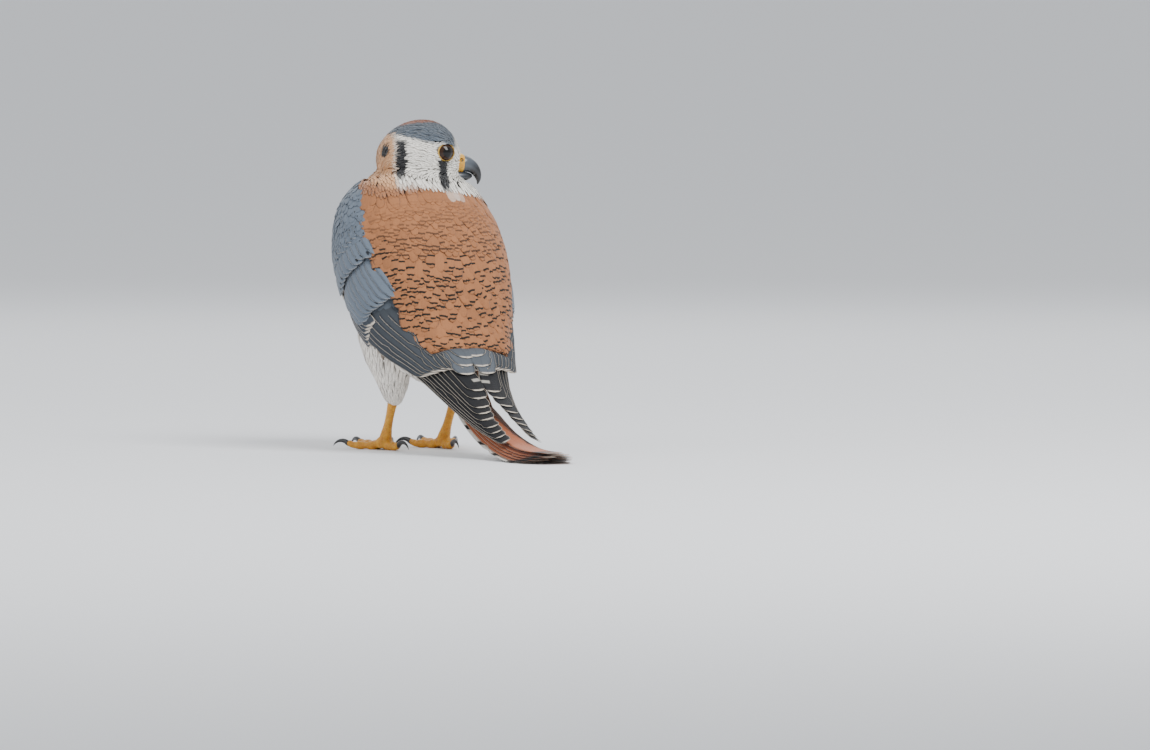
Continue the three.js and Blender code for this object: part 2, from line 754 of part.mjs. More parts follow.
// Tail feathers in pairs, with the middle pair on top, sunk in the coverts that wrap their roots
function tailSolid() {
  const random = randomSource(4242);
  const core = loft(
    TAIL_COVERT_CORE.map(([s, halfWidth, above, below]) =>
      ovalRing(tailPoint(s, 0, 0), X_AXIS, spineDorsal(s), halfWidth, above, below, 14),
    ),
  );
  const vanes = [];
  for (let pair = 0; pair < TAIL_PAIRS; pair++) {
    for (const [, side] of SIDES) {
      const shorter = TAIL_OUTER_SHORTFALL * (pair / (TAIL_PAIRS - 1)) ** 2 + random() * 1.2;
      // The left feather of the middle pair lies over the right one. The others stop short of
      // the middle line, under that pair.
      const layer = pair === 0 && side > 0 ? 0 : pair + 1;
      const vary = 1 + VANE_VARIATION * (2 * random() - 1);
      const halfWidth = TAIL_VANE_HALF_WIDTH * vary;
      const rootMiddle = TAIL_ROOT_SPREAD * (pair + 0.5);
      const tipMiddle = TAIL_TIP_SPREAD * (pair + 0.9);
      const keepOut = pair === 0 ? -Infinity : TAIL_INNER_EDGE;
      const surface = (s, across, lift) => tailPoint(s, side * Math.max(across, keepOut), lift);
      vanes.push(
        vane(surface, {
          root: [TAIL_ROOT - 10, rootMiddle],
          tip: [TAIL_ROOT - TAIL_LENGTH + shorter, tipMiddle],
          halfWidth,
          rootLift: 1.9 - 0.6 * layer,
          tipLift: TAIL_STACK_ABOVE - TAIL_LAYER_STEP * (layer - 0.5),
          tilt: 0,
          stations: TAIL_STATIONS,
        }),
      );
    }
  }
  for (const [tier, outward] of [[TAIL_COVERTS, 1], [VENT_COVERTS, -1]]) {
    for (let i = 0; i < tier.count; i++) {
      const across = i - (tier.count - 1) / 2;
      vanes.push(
        vane(tailPoint, {
          root: [tier.root, across * tier.spread * 0.7],
          tip: [tier.tip + Math.abs(across) * 4 + random() * 2, across * tier.spread],
          halfWidth: tier.halfWidth,
          rootLift: (tier.lift - tier.sink - 1) * outward,
          tipLift: (tier.lift - tier.sink - 0.35 * Math.abs(across)) * outward,
          tilt: 0,
          stations: [0, 0.4, 0.8, 1],
          outward,
        }),
      );
    }
  }
  return joined([core, ...vanes]);
}

function mirrored(point, side) {
  return new THREE.Vector3(point.x * side, point.y, point.z);
}

function thighSolid(side) {
  const axis = TARSUS_TOP.clone().sub(TARSUS_FOOT).normalize();
  const last = THIGH_SECTIONS.length - 1;
  const rings = THIGH_SECTIONS.map(([x, forward, height, halfWidth, halfDepth], i) => {
    const centre = i === last ? TARSUS_TOP : new THREE.Vector3(x, -forward, height);
    const tilt = i / last;
    const up = new THREE.Vector3(0, lerp(1, axis.z, tilt), -lerp(0, axis.y, tilt)).normalize();
    return ovalRing(mirrored(centre, side), X_AXIS, up, halfWidth, halfDepth, halfDepth, 18);
  });
  return loft(rings);
}

function tarsusRing(centre, widthScale, side) {
  const axis = TARSUS_TOP.clone().sub(TARSUS_FOOT).normalize();
  const depthAxis = new THREE.Vector3().crossVectors(X_AXIS, axis).normalize();
  const sideAxis = new THREE.Vector3().crossVectors(axis, depthAxis).normalize();
  const [w, d] = [TARSUS_HALF_WIDTH * widthScale, TARSUS_HALF_DEPTH * widthScale];
  const ring = ovalRing(centre, sideAxis, depthAxis, w, d, d, 10);
  return ring.map((p) => mirrored(p, side));
}

function tarsusSolid(side) {
  const axis = TARSUS_TOP.clone().sub(TARSUS_FOOT);
  const inset = GAP / axis.length();
  const places = [inset, 0.2, 0.5, 0.8, 1 - inset];
  const scales = [1.25, 1.02, 0.96, 1.06, 1.3];
  return loft(
    places.map((t, i) => tarsusRing(TARSUS_FOOT.clone().addScaledVector(axis, t), scales[i], side)),
  );
}

function toeDirection(degreesOut) {
  const angle = degreesOut * DEGREE;
  return new THREE.Vector3(Math.sin(angle), -Math.cos(angle), 0);
}

// End of a toe, where the claw starts
function toeEnd([, degreesOut, length]) {
  const direction = toeDirection(degreesOut);
  const point = FOOT_CENTRE.clone().addScaledVector(direction, length).setZ(TOE_AXIS_HEIGHT + 0.85);
  const rise = TOE_END_RISE * DEGREE;
  const tangent = direction.clone().multiplyScalar(Math.cos(rise)).setZ(Math.sin(rise));
  return { point, tangent, direction };
}

function toeSolid(toe, side) {
  const [, degreesOut, length, radius] = toe;
  const direction = toeDirection(degreesOut);
  const { point: end, tangent } = toeEnd(toe);
  const steps = 6;
  const points = [];
  const radii = [];
  for (let i = 0; i < steps; i++) {
    const t = i / steps;
    const dropIn = 1.9 * (1 - smooth(t * 3));
    const pad = 1 + 0.12 * Math.cos(2 * Math.PI * 3 * t);
    const along = FOOT_CENTRE.clone().addScaledVector(direction, length * t * 0.98);
    points.push(along.setZ(TOE_AXIS_HEIGHT + dropIn));
    radii.push(radius * lerp(1.12, 0.86, t) * pad);
  }
  points.push(end);
  radii.push(radius * 0.66);
  const flip = (p) => mirrored(p, side);
  return tube(points.map(flip), radii, 7, 1, null, flip(tangent));
}

function clawSolid(toe, side) {
  const [, , , radius, clawLength] = toe;
  const { point, tangent, direction } = toeEnd(toe);
  const steps = 5;
  const start = point.clone().addScaledVector(tangent, GAP);
  const points = [start];
  const radii = [radius * 0.64];
  for (let i = 1; i <= steps; i++) {
    const t = i / steps;
    const angle = lerp(TOE_END_RISE, CLAW_END_FALL, (i - 0.5) / steps) * DEGREE;
    const step = direction.clone().multiplyScalar(Math.cos(angle)).setZ(Math.sin(angle));
    points.push(points[i - 1].clone().addScaledVector(step, clawLength / steps));
    radii.push(Math.max(radius * 0.64 * (1 - t) ** 0.8, CLAW_TIP_RADIUS));
  }
  const flip = (p) => mirrored(p, side);
  return tube(points.map(flip), radii, 6, 0.8, flip(tangent)).intersect(aboveFloor);
}

function footSolid(side) {
  const palm = ball(mirrored(FOOT_CENTRE.clone().setZ(PALM_RADIUS - 0.2), side), PALM_RADIUS, 6, 9);
  const axis = TARSUS_TOP.clone().sub(TARSUS_FOOT).normalize();
  const ankle = loft([
    tarsusRing(TARSUS_FOOT.clone().addScaledVector(axis, -4.5), 1.35, side),
    tarsusRing(TARSUS_FOOT, 1.25, side),
  ]);
  const topPlane = beyond(mirrored(TARSUS_FOOT, side), mirrored(axis, side));
  const toes = TOES.map((toe) => toeSolid(toe, side));
  return largest(joined([palm, ankle, ...toes]).subtract(topPlane).intersect(aboveFloor));
}

// Bird
const bird = new THREE.Group();

function addPart(name, solid, colour, roughness = 0.85) {
  const mesh = solid.getMesh();
  const geometry = new THREE.BufferGeometry();
  const stride = mesh.numProp;
  const positions = new Float32Array((mesh.vertProperties.length / stride) * 3);
  for (let i = 0; i < positions.length / 3; i++) {
    positions.set(mesh.vertProperties.slice(i * stride, i * stride + 3), i * 3);
  }
  geometry.setAttribute('position', new THREE.BufferAttribute(positions, 3));
  geometry.setIndex(new THREE.BufferAttribute(new Uint32Array(mesh.triVerts), 1));
  geometry.computeVertexNormals();
  const material = new THREE.MeshStandardMaterial({ color: colour, roughness, metalness: 0 });
  const part = new THREE.Mesh(geometry, material);
  part.name = name;
  bird.add(part);
}


function addTrunkAndHead() {
  const whole = joined([trunkSolid(), neckSolid(), skullSolid()]);
  const tilt = NECK_BASE_TILT * DEGREE;
  const baseNormal = new THREE.Vector3(0, -Math.sin(tilt), Math.cos(tilt));
  const basePoint = new THREE.Vector3(0, -NECK_PROFILE[1][0], NECK_BASE_HEIGHT);
  const topPoint = new THREE.Vector3(0, 0, NECK_TOP_HEIGHT);
  const half = GAP / 2;
  const past = (point, normal) => beyond(point.clone().addScaledVector(normal, half), normal);
  const aboveBase = past(basePoint, baseNormal);
  const belowBase = past(basePoint, baseNormal.clone().negate());
  const aboveTop = past(topPoint, Z_AXIS);
  const belowTop = past(topPoint, Z_AXIS.clone().negate());

  let head = whole.intersect(aboveTop).intersect(aboveBase);
  for (const [, side] of SIDES) head = head.add(lidRing(side)).add(browRidge(side));
  for (const [, side] of SIDES) head = head.subtract(eyeball(side, GAP));
  addPart('head', largest(head.subtract(mouthGroove())), COLOURS.crown);
  addPart('neck', largest(whole.intersect(aboveBase).intersect(belowTop)), COLOURS.breast);
  addPart('torso', largest(whole.intersect(belowBase)), COLOURS.back);
}

function addBillAndEyes(clearOfBody) {
  let cere = billPiece(CERE_SECTIONS).subtract(clearOfBody);
  for (const [name, side] of SIDES) {
    const nostril = headPoint(NOSTRIL.forward, side * NOSTRIL.side, NOSTRIL.up);
    cere = cere.subtract(ball(nostril, NOSTRIL.radius, 7, 10));
    addPart(`eye_${name}`, eyeball(side), COLOURS.eye, 0.1);
  }
  addPart('cere', largest(cere), COLOURS.cere, 0.6);
  addPart('bill_upper', billPiece(UPPER_BILL_SECTIONS), COLOURS.horn, 0.4);
  addPart('bill_lower', largest(billPiece(LOWER_BILL_SECTIONS).subtract(clearOfBody)), COLOURS.horn, 0.4);
}

function addLeg(name, side, clearOfTrunk) {
  addPart(`thigh_${name}`, largest(thighSolid(side).subtract(clearOfTrunk)), COLOURS.thigh);
  addPart(`tarsus_${name}`, tarsusSolid(side), COLOURS.leg, 0.6);
  addPart(`foot_${name}`, footSolid(side), COLOURS.leg, 0.6);
  for (const toe of TOES) addPart(`claw_${name}_${toe[0]}`, clawSolid(toe, side), COLOURS.claw, 0.35);
}

function addWing(name, side, clearOfBody) {
  const edge = new THREE.Vector3(side * WING_MIDLINE_CLEARANCE, 0, 0);
  const outside = beyond(edge, new THREE.Vector3(side, 0, 0));
  const tiers = Object.keys(WING_TIERS).flatMap((tier, i) => wingTier(side, tier, 100 * i + side));
  const wing = joined([wingCore(side), ...tiers]).intersect(outside).subtract(clearOfBody);
  addPart(`wing_${name}`, largest(wing), COLOURS.wing);
}

const clearOfTrunk = trunkSolid(GAP);
const clearOfBody = joined([clearOfTrunk, neckSolid(GAP), skullSolid(GAP)]);
addTrunkAndHead();
addBillAndEyes(clearOfBody);
for (const [name, side] of SIDES) {
  addLeg(name, side, clearOfTrunk);
  addWing(name, side, clearOfBody);
}
addPart('tail', largest(tailSolid().intersect(aboveFloor).subtract(clearOfTrunk)), COLOURS.tail);

// The origin is at the middle of the bird's box, on the floor
const box = new THREE.Box3().setFromObject(bird, true);
bird.position.set(-(box.min.x + box.max.x) / 2, -(box.min.y + box.max.y) / 2, -box.min.z);

export default bird;
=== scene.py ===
"""An adult male American kestrel at life size, dressed for show.

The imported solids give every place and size. This file puts a skin, a coat of modelled feathers,
scaled legs, horn and eyes over them. Sizes are in millimetres in the code and in metres in the
meshes. The bird faces -Y and its own left side is at +X.
"""

from __future__ import annotations

import logging
import math
from collections.abc import Callable, Iterator
from contextlib import contextmanager
from dataclasses import dataclass, field
from enum import Enum
from functools import partial

import bmesh
import bpy
import numpy as np
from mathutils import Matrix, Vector
from mathutils.bvhtree import BVHTree


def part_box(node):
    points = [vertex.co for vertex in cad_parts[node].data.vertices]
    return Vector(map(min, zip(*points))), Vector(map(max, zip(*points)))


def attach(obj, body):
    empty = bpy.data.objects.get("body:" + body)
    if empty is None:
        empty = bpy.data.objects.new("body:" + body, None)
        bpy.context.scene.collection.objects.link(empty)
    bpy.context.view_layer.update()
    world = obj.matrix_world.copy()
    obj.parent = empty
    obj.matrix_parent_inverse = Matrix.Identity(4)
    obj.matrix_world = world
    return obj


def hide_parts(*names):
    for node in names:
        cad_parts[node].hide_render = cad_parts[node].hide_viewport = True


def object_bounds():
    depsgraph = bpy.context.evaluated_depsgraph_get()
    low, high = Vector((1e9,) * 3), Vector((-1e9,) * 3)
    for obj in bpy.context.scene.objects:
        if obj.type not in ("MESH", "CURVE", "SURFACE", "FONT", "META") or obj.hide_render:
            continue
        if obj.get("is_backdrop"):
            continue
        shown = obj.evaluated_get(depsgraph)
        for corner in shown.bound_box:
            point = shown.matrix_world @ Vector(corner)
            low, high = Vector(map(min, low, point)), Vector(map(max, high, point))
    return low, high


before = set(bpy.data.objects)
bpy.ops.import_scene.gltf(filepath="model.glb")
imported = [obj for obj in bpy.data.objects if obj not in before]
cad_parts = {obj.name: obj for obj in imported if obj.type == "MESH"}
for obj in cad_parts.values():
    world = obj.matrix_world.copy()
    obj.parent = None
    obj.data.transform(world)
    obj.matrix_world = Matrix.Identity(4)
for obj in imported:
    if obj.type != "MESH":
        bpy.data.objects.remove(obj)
CAD_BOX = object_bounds()

MM = 0.001
BODY = "root"
PHOTO_WIDTH = 1150
PHOTO_HEIGHT = 750
BAKE_MAP = "OFBake"
VANE_MAP = "vane"
BARB_MAP = "barb"
EDGE_MAP = "edge"
BAKE_PATCH = 0.003
log = logging.getLogger("kestrel")

Array = np.ndarray
Surface = Callable[[Array, Array, Array], Array]


class Side(Enum):
    """The bird's own left and right, as the sign of X."""

    LEFT = 1
    RIGHT = -1

    @property
    def word(self) -> str:
        """The side's name as node names have it."""
        return self.name.lower()


def smooth(t: Array | float) -> Array:
    """Smooth step from 0 to 1."""
    u = np.clip(t, 0.0, 1.0)
    return u * u * (3.0 - 2.0 * u)


def mix(a: Array | float, b: Array | float, t: Array | float) -> Array:
    """Value between a and b."""
    return a + (b - a) * t


def unit(v: Array) -> Array:
    """Vectors of length one along the last axis."""
    return v / np.maximum(np.linalg.norm(v, axis=-1, keepdims=True), 1e-9)


def profile_at(profile: Array, column: int, at: Array | float) -> Array:
    """Smooth value of one column of a profile.

    Args:
        profile: Rows whose first column runs up or down.
        column: The column to read.
        at: Places along the first column.

    Returns:
        The column's values, held level beyond both ends.
    """
    rows = profile if profile[0, 0] < profile[-1, 0] else profile[::-1]
    x, y = rows[:, 0], rows[:, column]
    last = len(x) - 1
    slopes = np.empty_like(y)
    for i in range(last + 1):
        low, high = max(i - 1, 0), min(i + 1, last)
        slopes[i] = (y[high] - y[low]) / (x[high] - x[low])
    place = np.clip(np.asarray(at, float), x[0], x[-1])
    k = np.clip(np.searchsorted(x, place, side="left") - 1, 0, last - 1)
    span = x[k + 1] - x[k]
    t = (place - x[k]) / span
    t2, t3 = t * t, t * t * t
    return (
        (2 * t3 - 3 * t2 + 1) * y[k]
        + (t3 - 2 * t2 + t) * span * slopes[k]
        + (3 * t2 - 2 * t3) * y[k + 1]
        + (t3 - t2) * span * slopes[k + 1]
    )


def columns_at(profile: Array, at: Array | float) -> list[Array]:
    """Every column of a profile but the first, at places along the first."""
    return [profile_at(profile, column, at) for column in range(1, profile.shape[1])]


@dataclass(frozen=True)
class Spine:
    """Line along the back, with distances positive towards the head."""

    pitch: float = 60.0
    bend_start: float = -18.0
    bend_end: float = -58.0
    tail_slope: float = 40.0
    flat_from: float = -150.0
    back_end: float = -176.0
    front_end: float = 62.0
    end_height: float = -1.6
    shift_y: float = 0.0

    def slope(self, s: Array) -> Array:
        """Angle of the line above the floor.

        Args:
            s: Distances along the line.

        Returns:
            Angles in radians.
        """
        t = smooth((s - self.bend_end) / (self.bend_start - self.bend_end))
        front = mix(self.tail_slope, self.pitch, t)
        share = np.clip((s - self.flat_from) / (self.bend_end - self.flat_from), 0, 1)
        return np.radians(np.where(s >= self.bend_end, front, self.tail_slope * share))

    def line(self) -> tuple[Array, Array, Array]:
        """Draws the line.

        Returns:
            Distances along it, and the Y and Z of each, in millimetres.
        """
        s = np.arange(self.back_end, self.front_end + 0.5)
        steps = self.slope(s[:-1] + 0.5)
        y = np.concatenate([[0.0], -np.cumsum(np.cos(steps))])
        z = self.end_height + np.concatenate([[0.0], np.cumsum(np.sin(steps))])
        return s, y - y[s == 0][0] + self.shift_y, z

    def point(self, side: Array, out: Array, s: Array) -> Array:
        """Points off to one side of the line and out towards the back.

        Args:
            side: Distances to the bird's left.
            out: Distances out towards the back.
            s: Distances along the line.

        Returns:
            The points, in millimetres.
        """
        side, out, s = np.broadcast_arrays(side, out, s)
        places, y, z = self.line()
        angle = self.slope(s)
        y = np.interp(s, places, y) + out * np.sin(angle)
        return np.stack([side, y, np.interp(s, places, z) + out * np.cos(angle)], axis=-1)

    def locate(self, points: Array) -> tuple[Array, Array]:
        """Place of points along the line, and how far they stand out towards the back.

        Args:
            points: Points in millimetres.

        Returns:
            Distance along the line, and distance out towards the back.
        """
        places, y, z = self.line()
        gap_y = points[:, 1, None] - y
        gap_z = points[:, 2, None] - z
        nearest = np.argmin(gap_y**2 + gap_z**2, axis=1)
        s = places[nearest]
        angle = self.slope(s)
        rows = np.arange(len(points))
        dy, dz = gap_y[rows, nearest], gap_z[rows, nearest]
        return s - dy * np.cos(angle) + dz * np.sin(angle), dy * np.sin(angle) + dz * np.cos(angle)

    def headwards(self, s: Array) -> Array:
        """Direction of the line towards the head."""
        angle = self.slope(s)
        return np.stack([np.zeros_like(angle), -np.cos(angle), np.sin(angle)], axis=-1)


@dataclass(frozen=True)
class HeadFrame:
    """The head's own axes, turned far to the bird's right."""

    centre: tuple[float, float, float] = (-5.0, -12.5, 124.8)
    turn: float = 104.0
    dip: float = 4.0
    shift_y: float = 0.0

    def axes(self) -> Array:
        """Works out the axes.

        Returns:
            Rows that point forward, to the left and up.
        """
        dip, turn = math.radians(self.dip), math.radians(-self.turn)
        forward = np.array([0.0, -math.cos(dip), -math.sin(dip)])
        cos, sin = math.cos(turn), math.sin(turn)
        forward = np.array([-forward[1] * sin, forward[1] * cos, forward[2]])
        left = unit(np.cross([0.0, 0.0, 1.0], forward))
        return np.stack([forward, left, np.cross(forward, left)])

    def origin(self) -> Array:
        """The head's centre in the frame, in millimetres."""
        return np.array(self.centre) + np.array([0.0, self.shift_y, 0.0])

    def world(self, local: Array) -> Array:
        """Points at places in the head's own axes."""
        return local @ self.axes() + self.origin()

    def point(self, forward: Array, left: Array, up: Array) -> Array:
        """Points at places forward, to the left and up in the head."""
        return self.world(np.stack(np.broadcast_arrays(forward, left, up), axis=-1).astype(float))

    def local(self, points: Array) -> Array:
        """Places of points in the head's own axes."""
        return (points - self.origin()) @ self.axes().T


@dataclass(frozen=True)
class EyePlace:
    """Where the eyes sit in the head, and the bare skin that is kept round them."""

    radius: float = 5.6
    forward: float = 6.4
    side: float = 10.5
    up: float = 3.8
    turn: float = 20.0
    rooted_from: float = 4.25
    laid_from: float = 4.5

    def centre(self, side: Side) -> Array:
        """The eye's middle in the head's axes."""
        return np.array([self.forward, side.value * self.side, self.up])

    def look(self, side: Side) -> Array:
        """The way the eye faces in the head's axes."""
        turn = math.radians(self.turn)
        return np.array([math.sin(turn), side.value * math.cos(turn), 0.0])

    def hides(self, local: Array, side: Side, reach: float) -> Array:
        """Whether places lie before the eye, nearer than a reach to the line that it looks along.

        Args:
            local: Places in the head's axes.
            side: Which eye.
            reach: Distance from the line.

        Returns:
            True for each place that does.
        """
        gap = local - self.centre(side)
        depth = gap @ self.look(side)
        wide = np.sqrt(np.maximum((gap**2).sum(axis=1) - depth**2, 0))
        return (wide < reach) & (depth > 0)


def frame_shift(eye: EyePlace) -> float:
    """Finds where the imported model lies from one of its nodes.

    Args:
        eye: Where the eyes sit.

    Returns:
        How far it lies along Y from the place that its sizes give, in millimetres.
    """
    low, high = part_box("eye_right")
    found = (low + high) / 2 / MM
    return found.y - HeadFrame().world(eye.centre(Side.RIGHT))[1]


EYE = EyePlace()
SHIFT_Y = frame_shift(EYE)
SPINE = Spine(shift_y=SHIFT_Y)
HEAD = HeadFrame(shift_y=SHIFT_Y)


# Every material of the bird by name, which main fills before any piece is built
LOOKS: dict[str, bpy.types.Material] = {}


def linear(code: int) -> Array:
    """Turns an sRGB hex value linear.

    Args:
        code: The hex value.

    Returns:
        The linear colour, with alpha.
    """
    srgb = np.array([(code >> shift & 255) / 255 for shift in (16, 8, 0)])
    value = np.where(srgb <= 0.04045, srgb / 12.92, ((srgb + 0.055) / 1.055) ** 2.4)
    return np.append(value, 1.0)


@dataclass
class Faces:
    """Vertices and faces of one piece as arrays, gathered from many like parts."""

    points: list[Array] = field(default_factory=list)
    quads: list[Array] = field(default_factory=list)
    flat: list[Array] = field(default_factory=list)
    colours: dict[str, list[Array]] = field(default_factory=dict)
    maps: dict[str, list[Array]] = field(default_factory=dict)
    count: int = 0

    def add(
        self,
        points: Array,
        quads: Array,
        flat: Array,
        colours: dict[str, Array],
        maps: dict[str, Array],
    ) -> None:
        """Adds one part.

        Args:
            points: Vertices in millimetres.
            quads: Rows of four corners. A triangle repeats its last corner.
            flat: Whether each face is shaded flat.
            colours: A colour for each vertex, by attribute name.
            maps: A place for each vertex, by map name.
        """
        self.points.append(points)
        self.quads.append(quads + self.count)
        self.flat.append(flat)
        self.count += len(points)
        for name, value in colours.items():
            self.colours.setdefault(name, []).append(value)
        for name, value in maps.items():
            self.maps.setdefault(name, []).append(value)

    def build(self, name: str) -> bpy.types.Object:
        """Makes the piece.

        Args:
            name: The piece's name.

        Returns:
            The new object, in metres.
        """
        points = np.concatenate(self.points) * MM
        quads = np.concatenate(self.quads)
        flat = np.concatenate(self.flat)
        three = quads[:, 2] == quads[:, 3]
        sizes = np.where(three, 3, 4)
        keep = np.ones(quads.shape, bool)
        keep[three, 3] = False
        corners = quads[keep]
        mesh = bpy.data.meshes.new(name)
        mesh.vertices.add(len(points))
        mesh.vertices.foreach_set("co", points.ravel())
        mesh.loops.add(len(corners))
        mesh.loops.foreach_set("vertex_index", corners)
        mesh.polygons.add(len(quads))
        mesh.polygons.foreach_set("loop_start", np.cumsum(sizes) - sizes)
        mesh.update(calc_edges=True)
        mesh.polygons.foreach_set("use_smooth", ~flat)
        for label, values in self.colours.items():
            attribute = mesh.color_attributes.new(label, "FLOAT_COLOR", "POINT")
            attribute.data.foreach_set("color", np.concatenate(values).ravel())
        for label, values in self.maps.items():
            layer = mesh.uv_layers.new(name=label)
            layer.data.foreach_set("uv", np.concatenate(values)[corners].ravel())
        mesh.validate()
        return new_object(name, mesh)


def new_object(name: str, data: bpy.types.ID) -> bpy.types.Object:
    """Adds an object to the scene.

    Args:
        name: Its name.
        data: Its mesh, lamp or camera.

    Returns:
        The new object.
    """
    item = bpy.data.objects.new(name, data)
    bpy.context.scene.collection.objects.link(item)
    return item


@contextmanager
def open_mesh(mesh: bpy.types.Mesh) -> Iterator[bmesh.types.BMesh]:
    """Opens a mesh for changes and writes them back.

    Args:
        mesh: The mesh.

    Yields:
        What the changes are made in.
    """
    work = bmesh.new()
    work.from_mesh(mesh)
    yield work
    work.to_mesh(mesh)
    work.free()


def closed_piece(name: str, points: Array, faces: list, turned: bool = True) -> bpy.types.Object:
    """Makes a closed, smoothly shaded piece.

    Args:
        name: The piece's name.
        points: Vertices in millimetres.
        faces: The corners of each face.
        turned: Whether its faces still have to be turned outwards.

    Returns:
        The new object.
    """
    mesh = bpy.data.meshes.new(name)
    mesh.from_pydata((points * MM).tolist(), [], faces)
    if turned:
        with open_mesh(mesh) as work:
            bmesh.ops.recalc_face_normals(work, faces=work.faces[:])
    mesh.shade_smooth()
    return new_object(name, mesh)


def ball(name: str, centre: Array, radius: float, segments: int, rings: int) -> bpy.types.Object:
    """Makes a ball whose mesh lies in the frame.

    Args:
        name: The piece's name.
        centre: Its middle, in millimetres.
        radius: Its radius.
        segments: Faces round it.
        rings: Faces from pole to pole.

    Returns:
        The new object.
    """
    bpy.ops.mesh.primitive_uv_sphere_add(
        segments=segments, ring_count=rings, radius=radius * MM, location=centre * MM
    )
    piece = bpy.context.view_layer.objects.active
    piece.name = name
    piece.data.transform(piece.matrix_world)
    piece.matrix_world.identity()
    return piece


def add_map(piece: bpy.types.Object, name: str, places: Array) -> None:
    """Adds a UV map to a piece.

    Args:
        piece: The piece.
        name: The map's name.
        places: A place for each vertex.
    """
    corners = np.empty(len(piece.data.loops), int)
    piece.data.loops.foreach_get("vertex_index", corners)
    layer = piece.data.uv_layers.new(name=name)
    layer.data.foreach_set("uv", places[corners].ravel())


def settle(piece: bpy.types.Object, look: str, slot: str, *nodes: str) -> None:
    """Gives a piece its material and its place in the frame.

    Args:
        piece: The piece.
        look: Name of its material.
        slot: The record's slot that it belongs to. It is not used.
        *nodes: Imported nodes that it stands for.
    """
    piece.data.materials.append(LOOKS[look])
    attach(piece, BODY)
    if nodes:
        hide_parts(*nodes)
    log.info("%s: %d faces", piece.name, len(piece.data.polygons))


def vane_faces(rows: int, columns: int, lined: bool) -> tuple[Array, Array]:
    """Faces of one closed feather.

    Its outer face is a grid of rows and columns that ends in one point at the tip. Its inner
    face either joins the two edges, or is lined with a grid of its own inside those edges.

    Args:
        rows: Rows of vertices, without the tip.
        columns: Vertices across each row.
        lined: Whether the inner face has a grid of its own.

    Returns:
        Rows of four corners, and whether each face is shaded flat.
    """
    outer = np.arange(rows * columns).reshape(rows, columns)
    tip = rows * columns
    inner = outer[:, [0, -1]]
    if lined:
        own = tip + 1 + np.arange(rows * (columns - 2)).reshape(rows, columns - 2)
        inner = np.concatenate([outer[:, :1], own, outer[:, -1:]], axis=1)

    def sheet(grid: Array) -> list[list[int]]:
        """Lists the faces of one side.

        Args:
            grid: Its vertices by row and column.

        Returns:
            Four corners for each face.
        """
        cells = np.stack([grid[:-1, :-1], grid[:-1, 1:], grid[1:, 1:], grid[1:, :-1]], axis=-1)
        ends = [[a, b, tip, tip] for a, b in zip(grid[-1, :-1], grid[-1, 1:])]
        return cells.reshape(-1, 4).tolist() + ends

    front, back = sheet(outer), sheet(inner)
    faces = front + [[b, a, d, c] if c != d else [b, a, c, c] for a, b, c, d in back]
    if lined:
        faces += [
            [outer[0, j + 1], outer[0, j], inner[0, j], inner[0, j + 1]]
            for j in range(1, columns - 2)
        ]
        faces += [[outer[0, 1], 0, inner[0, 1], inner[0, 1]]]
        faces += [[columns - 1, outer[0, -2], inner[0, -2], inner[0, -2]]]
    else:
        faces += [[0, j + 1, j, j] for j in range(1, columns - 1)]
    flat = np.zeros(len(faces), bool)
    flat[len(front):] = not lined
    return np.array(faces, int), flat


# Distance along the spine, breadth, rise, drop, middle, and the angles of the wing's two edges
WING_PROFILE = np.array(
    [
        [46, 17.6, 12.0, 12.0, 1.0, -6, 10],
        [42, 23.2, 17.0, 17.0, 1.0, -26, 30],
        [34, 30.2, 22.5, 24.0, 0.5, -38, 44],
        [16, 35.6, 26.5, 29.0, 0.0, -40, 52],
        [-4, 37.0, 26.5, 28.0, 0.0, -34, 60],
        [-24, 34.8, 22.0, 23.0, 1.0, -22, 70],
        [-44, 29.2, 15.5, 15.0, 3.0, -8, 79],
        [-64, 23.0, 10.5, 10.0, 5.6, 4, 83],
        [-86, 18.4, 8.2, 8.0, 6.6, 12, 82],
        [-110, 15.0, 7.0, 7.0, 6.8, 18, 78],
        [-142, 11.8, 5.6, 6.0, 7.0, 24, 70],
    ]
)


def wing_point(side: Side, s: Array, across: Array, lift: Array) -> Array:
    """Point on the outer face of a folded wing.

    Args:
        side: Which wing.
        s: Distance along the spine.
        across: Share of the way from the wing's lower edge to its upper edge.
        lift: Height above the face.

    Returns:
        The points, in millimetres.
    """
    s, across, lift = np.broadcast_arrays(s, across, lift)
    breadth, rise, drop, middle, low, high = columns_at(WING_PROFILE, s)
    angle = np.radians(mix(low, high, across))
    reach = np.where(angle > 0, rise, drop)
    out_x = np.cos(angle) / breadth
    out_n = np.sin(angle) / reach
    size = np.hypot(out_x, out_n)
    x = breadth * np.cos(angle) + lift * out_x / size
    n = middle + reach * np.sin(angle) + lift * out_n / size
    return SPINE.point(side.value * x, n, s)


@dataclass(frozen=True)
class Dye:
    """Colours and mark strengths of one kind of feather.

    The base is the vane's colour, the mark the colour of its bars or spots, and strength how
    plainly the marks show, from 0 to 1.
    """

    base: int
    mark: int
    strength: float = 1.0
    vary: float = 0.06


